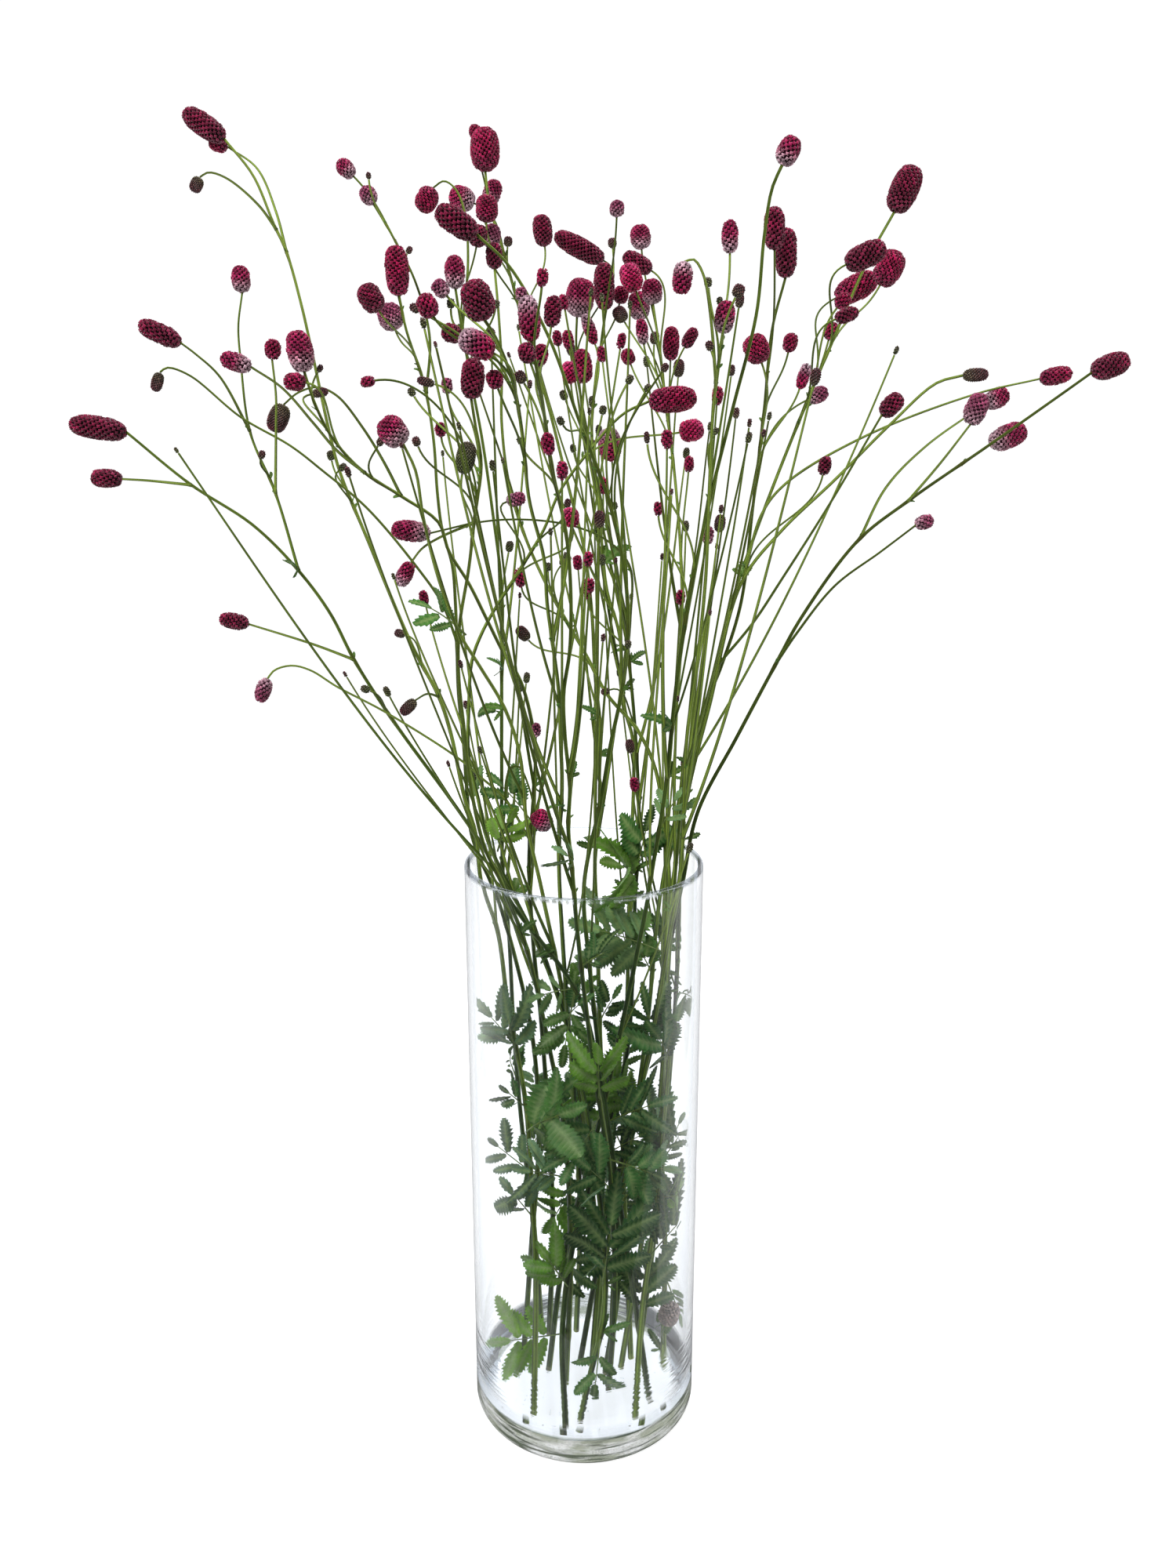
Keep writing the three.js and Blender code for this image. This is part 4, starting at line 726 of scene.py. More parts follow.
@dataclass
class Balls:
    """A row of balls that stands for a piece in the search for room.

    Attributes:
        centres: Their middles.
        radii: Their radii.
        apart: Which of them also keep clear of their own stem in the first tries.
        bloom: Which of them belong to a large head, which is a body of its own.
    """

    centres: Array
    radii: Array
    apart: Array
    bloom: Array

    @staticmethod
    def row(centres: Array, radii: Array, apart: Optional[Array] = None, bloom: bool = False) -> "Balls":
        """Balls at a row of points.

        Args:
            centres: The points.
            radii: Their radii.
            apart: Which of them keep clear of their own stem, or None for none of them.
            bloom: Whether all of them belong to a large head.

        Returns:
            The balls.
        """
        count = len(centres)
        flags = np.zeros(count, bool) if apart is None else apart
        return Balls(np.array(centres), np.array(radii), flags, np.full(count, bloom))

    def joined(self, other: "Balls") -> "Balls":
        """These balls and then the others."""
        pairs = zip(vars(self).values(), vars(other).values())
        return Balls(*(np.concatenate(pair) for pair in pairs))


@dataclass
class Room:
    """The room that the placed pieces have taken, as balls with the numbers of their stems."""

    BLOOM = -1
    CAPACITY = 60000
    centres: Array = field(default_factory=lambda: np.zeros((Room.CAPACITY, 3)))
    radii: Array = field(default_factory=lambda: np.zeros(Room.CAPACITY))
    owners: Array = field(default_factory=lambda: np.zeros(Room.CAPACITY, int))
    count: int = 0

    def is_clear(self, balls: Balls, owner: int, strict: bool) -> bool:
        """Whether balls touch nothing of another stem and stay inside the glass.

        Args:
            balls: The balls.
            owner: Their stem's number.
            strict: Whether they also keep clear of their own stem where they should.

        Returns:
            True where they are clear.
        """
        reach = np.hypot(balls.centres[:, 0], balls.centres[:, 1]) + balls.radii
        below_rim = balls.centres[:, 2] - balls.radii < VASE_HEIGHT + RIM_MARGIN
        if np.any(below_rim & (reach > INNER_ROOM)):
            return False
        margin = balls.radii.max() + CLEARANCE + SEARCH_MARGIN
        low = balls.centres.min(0) - margin
        high = balls.centres.max(0) + margin
        taken = self.centres[:self.count]
        near = np.all((taken > low) & (taken < high), axis=1)
        gaps = balls.radii[:, None] + self.radii[:self.count][near][None, :] + CLEARANCE
        offsets = balls.centres[:, None, :] - taken[near][None, :, :]
        touching = (offsets ** 2).sum(-1) < gaps ** 2
        foreign = self.owners[:self.count][near] != owner
        counted = foreign[None, :] | (strict & balls.apart)[:, None]
        return not np.any(touching & counted)

    def take(self, balls: Balls, owner: int) -> None:
        """Adds balls to the room that is taken.

        Args:
            balls: The balls.
            owner: Their stem's number.
        """
        rows = slice(self.count, self.count + len(balls.radii))
        self.centres[rows] = balls.centres
        self.radii[rows] = balls.radii
        self.owners[rows] = np.where(balls.bloom, self.BLOOM, owner)
        self.count = rows.stop

    def first_clear(self, moves: Moves, owner: int, make: Callable[[float], tuple]) -> Optional[object]:
        """Tries 0, one step, minus one step and so on, and keeps the first that is clear.

        Args:
            moves: The step and the most tries.
            owner: The stem's number.
            make: Makes the piece at a shift and returns its balls and the piece.

        Returns:
            The piece, or None where nothing is clear.
        """
        for strict in (True, False):
            for i in range(STRICT_TRIES if strict else moves.tries):
                balls, piece = make(moves.step * math.ceil(i / 2) * (1 if i % 2 else -1))
                if self.is_clear(balls, owner, strict):
                    self.take(balls, owner)
                    return piece
        return None


@dataclass
class Head:
    """A flower head in the bouquet: its foot, tip, width and place on the sheet."""

    base: Array
    tip: Array
    wide: float
    plan: HeadPlan

    @staticmethod
    def between(plan: HeadPlan, base: Array, tip: Array) -> "Head":
        """A head of its planned width from its foot to its tip."""
        return Head(base, tip, plan.width * float(SHEET.place(base)[2]), plan)

    def balls(self) -> Balls:
        """Makes the balls that stand for it in the search for room.

        Returns:
            A ball at each of the head's places.
        """
        shares = np.array(HEAD_PLACES)
        centres = self.base + (self.tip - self.base) * shares[:, None]
        return Balls.row(centres, self.wide * np.array(HEAD_RADII), shares > HEAD_FREE,
                         self.plan.length >= OWN_BODY_LENGTH)


@dataclass
class Limb:
    """A stalk, branch or twig.

    Attributes:
        curve: Its course.
        course: Spots along the coarse tube of the solids.
        root_radius: Its radius at its root.
        tip_radius: Its radius at its end.
        head: The head that ends it.
        knots: Places where twigs and leaves leave it.
        parent: The limb that it grows from.
    """

    curve: Curve
    course: Array
    root_radius: float
    tip_radius: float
    head: Head
    knots: list = field(default_factory=list)
    parent: Optional["Limb"] = None


@dataclass
class LeafFrame:
    """A leaf's own axes: its foot, rib, face, side and length."""

    foot: Array
    rib: Array
    face: Array
    side: Array
    length: float

    @staticmethod
    def between(foot: Array, tip: Array) -> "LeafFrame":
        """The axes of a leaf with its face turned to the eye.

        Args:
            foot: The leaf's foot.
            tip: Its tip.

        Returns:
            The axes.
        """
        reach = tip - foot
        length = float(np.linalg.norm(reach))
        rib = reach / length
        towards, up = LEAF_FACE
        face = unit(np.array([0.0, -towards, up]) + rib * (towards * rib[1] - up * rib[2]))
        return LeafFrame(foot, rib, face, np.cross(rib, face), length)

    def spots(self, across: Array, along: Array, lift: Array | float = 0.0) -> Array:
        """Where spots of the blade come in the bouquet, arched and kept inside the glass.

        Args:
            across: How far each is from the rib.
            along: How far each is along the rib.
            lift: How far each stands out of the blade.

        Returns:
            A point for each spot.
        """
        bow = self.length * LEAF_BOW * np.sin(np.pi * along / self.length)
        out = bow - LEAF_ARCH * np.abs(across)
        points = (self.foot + across[:, None] * self.side + along[:, None] * self.rib
                  + (out + lift)[:, None] * self.face)
        reach = np.hypot(points[:, 0], points[:, 1])
        room = INNER_ROOM - LEAF_INSET
        pressed = (points[:, 2] < VASE_HEIGHT + LEAF_RIM_MARGIN) & (reach > room)
        points[pressed, :2] *= (room / reach[pressed])[:, None]
        points[:, 2] = np.maximum(points[:, 2], BASE_THICKNESS + FLOOR_INSET)
        return points


@dataclass
class Leaf:
    """A leaf in the bouquet: its axes, pairs of leaflets and its tip's planned sheet place."""

    frame: LeafFrame
    pairs: int
    tip: tuple = ()


@dataclass
class Plant:
    """A cut stem laid out in the bouquet: its row of the table, number and parts."""

    plan: StemPlan
    number: int
    limbs: list = field(default_factory=list)
    twigs: list = field(default_factory=list)
    heads: list = field(default_factory=list)
    leaves: list = field(default_factory=list)


def leaflet_edge(length: float, half_width: float, corners: int, side: int) -> list:
    """One edge of the solid leaflet from foot to tip: teeth with notches between them.

    Args:
        length: The leaflet's length.
        half_width: Half its width.
        corners: How many teeth and notches the edge has.
        side: 1 for the right edge, and -1 for the left.

    Returns:
        For each corner, how far along and how far over it is.
    """
    edge = []
    for i in range(1, corners + 1):
        tooth = i % 2 == 1
        along = (i + (TOOTH_SHIFT if tooth else 0.0)) / (corners + 1)
        bulge = math.sin(math.pi * along ** BULGE_POWER)
        edge.append((along * length, side * half_width * bulge * (1.0 if tooth else NOTCH)))
    return edge


def leaf_outline(length: float, pairs: int) -> list:
    """The solid leaf's outline, cut to the rib between its leaflets.

    Args:
        length: The leaf's length.
        pairs: Its pairs of leaflets.

    Returns:
        Its corners, across and along.
    """
    rib = LEAF_STALK / 2
    first = FIRST_PAIR if pairs > 0 else BARE_STALK
    step = (LAST_LEAFLET - first) / pairs if pairs > 0 else 0.0
    half = []
    for k in range(pairs):
        foot = length * (first + step * k)
        own = (length * (FIRST_LEAFLET + LEAFLET_GROWTH * k) * SIDE_LEAFLET) / math.sqrt(pairs + 1)
        wide = own * LEAFLET_WIDTH
        half.append((rib, foot))
        corners = leaflet_edge(own, wide, 2, -1) + [(own, 0.0), leaflet_edge(own, wide, 1, 1)[0]]
        for along, over in corners:
            half.append((rib + along * math.cos(LEAFLET_LEAN) - over * math.sin(LEAFLET_LEAN),
                         foot + along * math.sin(LEAFLET_LEAN) + over * math.cos(LEAFLET_LEAN)))
    last = length * (LAST_LEAFLET if pairs > 0 else first)
    end_length = length - last
    half.append((rib, last))
    end_wide = end_length * (END_LEAFLET_WIDTH if pairs > 0 else LONE_LEAFLET_WIDTH)
    for along, over in leaflet_edge(end_length, end_wide, 2 if pairs > 0 else 4, 1):
        half.append((over, last + along))
    mirrored = [(-x, y) for x, y in reversed(half)]
    return [(rib, 0.0), *half, (0.0, length), *mirrored, (-rib, 0.0)]


def leaf_balls(axes: LeafFrame, pairs: int) -> Balls:
    """The balls that stand for a leaf in the search for room.

    Args:
        axes: The leaf's axes.
        pairs: Its pairs of leaflets.

    Returns:
        The balls.
    """
    outline = leaf_outline(axes.length, pairs)
    spots = []
    for i, (x, y) in enumerate(outline):
        if y > axes.length * LEAF_ROOT:
            last_x, last_y = outline[i - 1]
            spots += [(x, y), (x * 0.5, y), ((x + last_x) / 2, (y + last_y) / 2)]
    spots += [(0.0, axes.length * k / RIB_SAMPLES) for k in range(FIRST_RIB_SAMPLE, RIB_SAMPLES + 1)]
    rows = np.array(spots)
    centres = axes.spots(rows[:, 0], rows[:, 1])
    return Balls.row(centres, np.full(len(rows), LEAF_BALL), rows[:, 1] > axes.length * LEAF_APART)


def run_between(rings: Array) -> Array:
    """Evenly spaced spots on the straight runs between a tube's rings.

    Args:
        rings: The rings' middles.

    Returns:
        The spots.
    """
    course = []
    for start, end in zip(rings[:-1], rings[1:]):
        count = max(1, math.floor(np.linalg.norm(end - start) / BALL_SPACING + 0.5))
        course += [start + (end - start) * (k / count) for k in range(count)]
    course.append(rings[-1])
    return np.array(course)


def stalk_points(path: Sequence, away: float, foot: Array) -> list:
    """A stalk's course: its foot, then away from the eye by its share of the length.

    Args:
        path: Its course on the sheet.
        away: How far its end goes back.
        foot: Its foot.

    Returns:
        The points that it grows through.
    """
    rows = np.array(path, float)
    steps = np.hypot(*np.diff(rows, axis=0).T)
    shares = np.concatenate([[0.0], np.cumsum(steps)]) / steps.sum()
    points = [SHEET.at_depth(x, y, foot[1] + away * share) for (x, y), share in zip(rows, shares)]
    return [foot, *points[1:]]


def head_ends(plan: HeadPlan, y: float) -> tuple[Array, Array]:
    """The foot and tip of a head from its sheet place.

    Args:
        plan: The head's place.
        y: The depth that it stands at.

    Returns:
        The foot and the tip.
    """
    turn = math.radians(plan.angle)
    dx = math.cos(turn) * plan.length / 2
    dy = math.sin(turn) * plan.length / 2
    return (SHEET.at_depth(plan.across - dx, plan.down + dy, y),
            SHEET.at_depth(plan.across + dx, plan.down - dy, y))


def nearest_on(limbs: Sequence[Limb], across: Optional[float], down: float) -> tuple:
    """The place on some limbs nearest to a sheet place, or at a place down the sheet.

    Args:
        limbs: The limbs that are searched.
        across: The sheet place across, or None where only down counts.
        down: The sheet place down.

    Returns:
        The point, the direction of the limb there, and the limb.
    """
    best = None
    for limb in limbs:
        at_across, at_down, _ = SHEET.place(limb.course)
        aside = 0.0 if across is None else at_across - across
        off = np.hypot(aside, at_down - down)
        i = int(np.argmin(off))
        if best is None or off[i] < best[0]:
            best = (off[i], limb, i)
    _, limb, i = best
    return limb.course[i], heading_at(limb.course, i), limb


def at_height_on(limb: Limb, height: float) -> tuple[Array, Array]:
    """The spot on a limb nearest to a height, and the limb's direction there."""
    i = int(np.argmin(np.abs(limb.course[:, 2] - height)))
    return limb.course[i], heading_at(limb.course, i)


@dataclass
class Layout:
    """Lays the whole bouquet out in the order that the solids take their room in.

    Attributes:
        room: The room that is taken so far.
        plants: The stems, in the order of the table.
    """

    SEED = 2104
    room: Room = field(default_factory=Room)
    plants: list = field(default_factory=list)

    def build(self) -> list:
        """Places every stalk, branch, head and leaf.

        Returns:
            The plants, in the order of the table.
        """
        self.plants = [Plant(plan, number) for number, plan in enumerate(STEMS)]
        for plant in self.plants:
            self.add_stalk(plant)
        for plant in self.plants:
            for branch in plant.plan.branches:
                self.add_branch(plant, branch)
        for plant in self.plants:
            self.add_heads(plant, closed=False)
        for plant in self.plants:
            self.add_leaves(plant)
        for plant in self.plants:
            self.add_heads(plant, closed=True)
            if plant.plan.name == DRIED_STEM:
                self.add_twig_head(plant, plant.limbs[0], DRIED_HEAD)
        chance = Random(self.SEED)
        for _ in range(SHOOT_ROUNDS):
            for plant in self.plants:
                self.add_shoot(plant, chance)
        for _ in range(FILL_ROUNDS):
            for plant in self.plants:
                self.add_low_leaf(plant, chance)
        return self.plants

    def grow(self, plant: Plant, plan: StemPlan | BranchPlan, root: Array, runs: int, radii: tuple) -> Limb:
        """Places a stalk or branch, with its end moved back or forth until it is clear.

        Args:
            plant: The stem that it belongs to.
            plan: Its plan.
            root: Where it starts.
            runs: The straight runs of its solid tube.
            radii: Its radius at the root and at the end.

        Returns:
            The limb, with the head that ends it.
        """
        head_plan = next(HeadPlan(*row) for row in plan.heads if HeadPlan(*row).twig_place == 0)

        def make(shift: float) -> tuple:
            """Makes the limb.

            Args:
                shift: How far its end is moved.

            Returns:
                Its balls and the limb.
            """
            curve = StalkCurve(stalk_points(plan.path, plan.out + shift, root))
            course = run_between(curve.spaced(runs))
            shares = np.arange(len(course)) / (len(course) - 1)
            taper = blended(*radii, shares ** TAPER_POWER)
            end = course[-1]
            head = Head.between(head_plan, end, head_ends(head_plan, end[1])[1])
            return Balls.row(course, taper).joined(head.balls()), Limb(curve, course, *radii, head)

        limb = self.room.first_clear(STALK_MOVE, plant.number, make)
        plant.limbs.append(limb)
        return limb

    def add_stalk(self, plant: Plant) -> None:
        """Places a stem's main stalk."""
        foot = SHEET.at_height(*plant.plan.path[0], BASE_THICKNESS + FOOT_LIFT)
        self.grow(plant, plant.plan, foot, STALK_RUNS, (STALK_ROOT, STALK_TIP))

    def add_branch(self, plant: Plant, plan: BranchPlan) -> None:
        """Places one side branch of a stem.

        Args:
            plant: The stem.
            plan: The branch's plan.
        """
        root, _, parent = nearest_on(plant.limbs, *plan.path[0])
        runs = min(BRANCH_RUNS, len(plan.path))
        limb = self.grow(plant, plan, root, runs, (BRANCH_ROOT, TWIG_RADIUS))
        limb.parent = parent
        parent.knots.append(root)

    def add_heads(self, plant: Plant, closed: bool) -> None:
        """Places the open heads of a stem, or its closed buds.

        Args:
            plant: The stem.
            closed: Whether it is the closed buds' turn.
        """
        tables = [plant.plan.heads, *(branch.heads for branch in plant.plan.branches)]
        for limb, rows in zip(plant.limbs, tables):
            for plan in (HeadPlan(*row) for row in rows):
                if (plan.length < FINEST_BUD) != closed:
                    continue
                if plan.twig_place == 0:
                    plant.heads.append(limb.head)
                else:
                    self.add_twig_head(plant, limb, plan)

    def add_twig(self, plant: Plant, parent: Limb, moves: Moves, make: Callable[[float], tuple]) -> bool:
        """Places a twig and the head that ends it.

        Args:
            plant: The stem.
            parent: The limb that it grows from.
            moves: How it is moved in search of a clear place.
            make: Makes its curve, straight runs, radii and head at a shift.

        Returns:
            Whether there was room for it.
        """
        def made(shift: float) -> tuple:
            """Makes the twig.

            Args:
                shift: The move or turn that is tried.

            Returns:
                Its balls and the twig.
            """
            curve, runs, radii, head = make(shift)
            course = run_between(curve.spaced(runs))
            clear = course[ROOT_BALLS:]
            balls = head.balls().joined(Balls.row(clear, np.full(len(clear), TWIG_RADIUS)))
            return balls, Limb(curve, course, *radii, head, parent=parent)

        twig = self.room.first_clear(moves, plant.number, made)
        if twig is None:
            return False
        parent.knots.append(twig.course[0])
        plant.twigs.append(twig)
        plant.heads.append(twig.head)
        return True

    def add_twig_head(self, plant: Plant, limb: Limb, plan: HeadPlan) -> None:
        """Places a head on a twig of its own, swung towards the eye or away until it is clear.

        Args:
            plant: The stem.
            limb: The limb that the twig grows from.
            plan: The head's place.
        """
        root, along, _ = nearest_on([limb], None, plan.twig_place)

        def make(shift: float) -> tuple:
            """Makes what a twig is built from.

            Args:
                shift: How far the head is moved.

            Returns:
                Its curve, runs, radii and head.
            """
            base, tip = head_ends(plan, root[1] + plan.away + shift)
            span = float(np.linalg.norm(base - root))
            axis = unit(tip - base)
            curve = TwigCurve(root, root + along * span * TWIG_RISE, base - axis * span * TWIG_MEET, base)
            radii = (TWIG_RADIUS, TWIG_RADIUS)
            runs = LONG_TWIG_RUNS if span > LONG_TWIG else TWIG_RUNS
            return curve, runs, radii, Head.between(plan, base, tip)

        if not self.add_twig(plant, limb, HEAD_MOVE, make):
            LOG.warning("%s has no room for a bud at %s, %s", plant.plan.name, plan.across, plan.down)

    def add_shoot(self, plant: Plant, chance: Random) -> None:
        """Adds a thin side shoot that ends in a small bud, swung round its stalk until it is clear.

        Args:
            plant: The stem.
            chance: Where random draws come from.
        """
        stalk = plant.limbs[0]
        root, along = at_height_on(stalk, chance.triangular(*SHOOT_HEIGHTS))
        if not SHOOT_LEFT < float(SHEET.place(root)[0]) < SHOOT_RIGHT:
            return
        aside = unit(np.cross(along, [chance.uniform(-1, 1), chance.uniform(-1, 1), 0.2]))
        length = min(chance.uniform(*SHOOT_LENGTHS), SHOOT_TOP - root[2])
        lean = math.tan(math.radians(chance.uniform(*SHOOT_LEANS)))
        bend = chance.uniform(*SHOOT_BENDS)
        bud = chance.choice(SHOOT_BUDS)
        radii = (TWIG_RADIUS * chance.uniform(*SHOOT_THICKNESS), TWIG_RADIUS * SHOOT_TIP)

        def make(turn: float) -> tuple:
            """Makes what a shoot is built from.

            Args:
                turn: How far it is turned about its stalk.

            Returns:
                Its curve, runs, radii and bud.
            """
            way = rotated(aside, along, turn)
            end = root + unit(along + way * lean) * length
            end_axis = unit(along + way * lean + np.array([0.0, 0.0, bend]))
            rise = root + unit(along + way * lean * SHOOT_FLARE) * length * SHOOT_RISE
            curve = TwigCurve(root, rise, end - end_axis * length * SHOOT_MEET, end)
            across, down, scale = (float(value) for value in SHEET.place(end))
            plan = HeadPlan(across, down, 90.0, bud, bud * BUD_SLIMNESS, 1.0, 0.0)
            return curve, SHOOT_RUNS, radii, Head.between(plan, end, end + end_axis * bud * scale)

        self.add_twig(plant, stalk, SHOOT_TURN, make)

    def leaf_axes(self, plant: Plant, root: Array, along: Array, reach: Array,
                  pairs: int) -> Optional[LeafFrame]:
        """Turns a leaf round its stalk until it is clear.

        Args:
            plant: The stem.
            root: Where the leaf leaves the stalk.
            along: The stalk's direction there.
            reach: The way from the leaf's foot to its tip.
            pairs: Its pairs of leaflets.

        Returns:
            The leaf's axes, or None where nothing is clear.
        """
        def make(turn: float) -> tuple:
            """The leaf's balls and axes, turned about its stalk."""
            axes = LeafFrame.between(root, root + rotated(reach, along, turn))
            return leaf_balls(axes, pairs), axes

        return self.room.first_clear(LEAF_TURN, plant.number, make)

    def add_leaves(self, plant: Plant) -> None:
        """Places the leaves that a stem has in the table.

        Args:
            plant: The stem.
        """
        stalk = plant.limbs[0]
        for place, tip_across, tip_down, pairs, away in plant.plan.leaves:
            root, along, _ = nearest_on([stalk], None, place)
            reach = SHEET.at_depth(tip_across, tip_down, root[1] + away) - root
            axes = self.leaf_axes(plant, root, along, reach, pairs)
            if axes is None:
                LOG.warning("%s has no room for a leaf at %s", plant.plan.name, place)
                continue
            stalk.knots.append(root)
            plant.leaves.append(Leaf(axes, pairs, (tip_across, tip_down)))

    def add_low_leaf(self, plant: Plant, chance: Random) -> None:
        """Tries one more leaf at a random height of the stalk's part inside the vase.

        Args:
            plant: The stem.
            chance: Where random draws come from.
        """
        root, along = at_height_on(plant.limbs[0], chance.triangular(*FILL_HEIGHTS))
        way = chance.uniform(0, FULL_TURN)
        rise = math.radians(chance.uniform(*FILL_RISES))
        reach = chance.uniform(*FILL_LENGTHS) * np.array([
            math.cos(way) * math.cos(rise), math.sin(way) * math.cos(rise), math.sin(rise)])
        pairs = chance.choice(FILL_PAIRS)
        end = root + reach
        if math.hypot(*end[:2] - FILL_MIDDLE) > FILL_REACH or SHEET.place(end)[0] < FILL_LEFT:
            return
        axes = self.leaf_axes(plant, root, along, reach, pairs)
        if axes is not None:
            plant.leaves.append(Leaf(axes, pairs))


@dataclass
class MeshPen:
    """Gathers the vertices, tints and faces of one piece, in millimetres."""

    points: list = field(default_factory=list)
    tints: list = field(default_factory=list)
    faces: list = field(default_factory=list)
    count: int = 0

    def add(self, points: Array, faces: Sequence[Array], tints: Array) -> None:
        """Adds a body.

        Args:
            points: Its vertices.
            faces: Arrays of triangles or quads that number its own vertices.
            tints: A colour for each vertex, or one for all.
        """
        self.points.append(points)
        self.tints.append(np.broadcast_to(tints, (len(points), 3)))
        self.faces += [np.asarray(rows) + self.count for rows in faces if len(rows)]
        self.count += len(points)

    def piece(self, name: str, finish: Material, slot: str, node: Optional[str] = None) -> bpy.types.Object:
        """Makes the piece of everything gathered and hands it to the frame.

        Args:
            name: The piece's name.
            finish: Its material.
            slot: Its slot of material; not used.
            node: The node that it stands for, or None where it is added.

        Returns:
            The piece.
        """
        mesh = bpy.data.meshes.new(name)
        points = np.concatenate(self.points) * METRE
        loops = np.concatenate([rows.ravel() for rows in self.faces])
        sizes = np.concatenate([np.full(len(rows), rows.shape[1]) for rows in self.faces])
        starts = np.concatenate([[0], np.cumsum(sizes)[:-1]])
        mesh.vertices.add(len(points))
        mesh.vertices.foreach_set("co", points.astype(np.float32).ravel())
        mesh.loops.add(len(loops))
        mesh.loops.foreach_set("vertex_index", loops.astype(np.int32))
        mesh.polygons.add(len(sizes))
        mesh.polygons.foreach_set("loop_start", starts.astype(np.int32))
        mesh.polygons.foreach_set("use_smooth", np.ones(len(sizes), bool))
        mesh.update(calc_edges=True)
        tints = np.ones((len(points), 4), np.float32)
        tints[:, :3] = np.concatenate(self.tints)
        layer = mesh.color_attributes.new("Tint", "FLOAT_COLOR", "POINT")
        layer.data.foreach_set("color", tints.ravel())
        mesh.materials.append(finish)
        mesh.validate()
        piece = bpy.data.objects.new(name, mesh)
        bpy.context.scene.collection.objects.link(piece)
        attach(piece, "root")
        if node is not None:
            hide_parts(node)
        return piece


def ring_faces(rings: int, sides: int) -> list:
    """The faces of a closed body of rings of vertices, with their outsides out.

    Args:
        rings: How many rings there are, turning left.
        sides: How many vertices each has.

    Returns:
        The quads between the rings, and the fans round the two last vertices, foot first.
    """
    row, column = np.meshgrid(np.arange(rings - 1), np.arange(sides), indexing="ij")
    start = (row * sides + column).ravel()
    beside = (row * sides + (column + 1) % sides).ravel()
    quads = np.stack([start, beside, beside + sides, start + sides], axis=1)
    corner = np.arange(sides)
    after = (corner + 1) % sides
    count = rings * sides
    top = count - sides
    foot_fan = np.stack([after, corner, np.full(sides, count)], axis=1)
    top_fan = np.stack([top + corner, top + after, np.full(sides, count + 1)], axis=1)
    return [quads, foot_fan, top_fan]


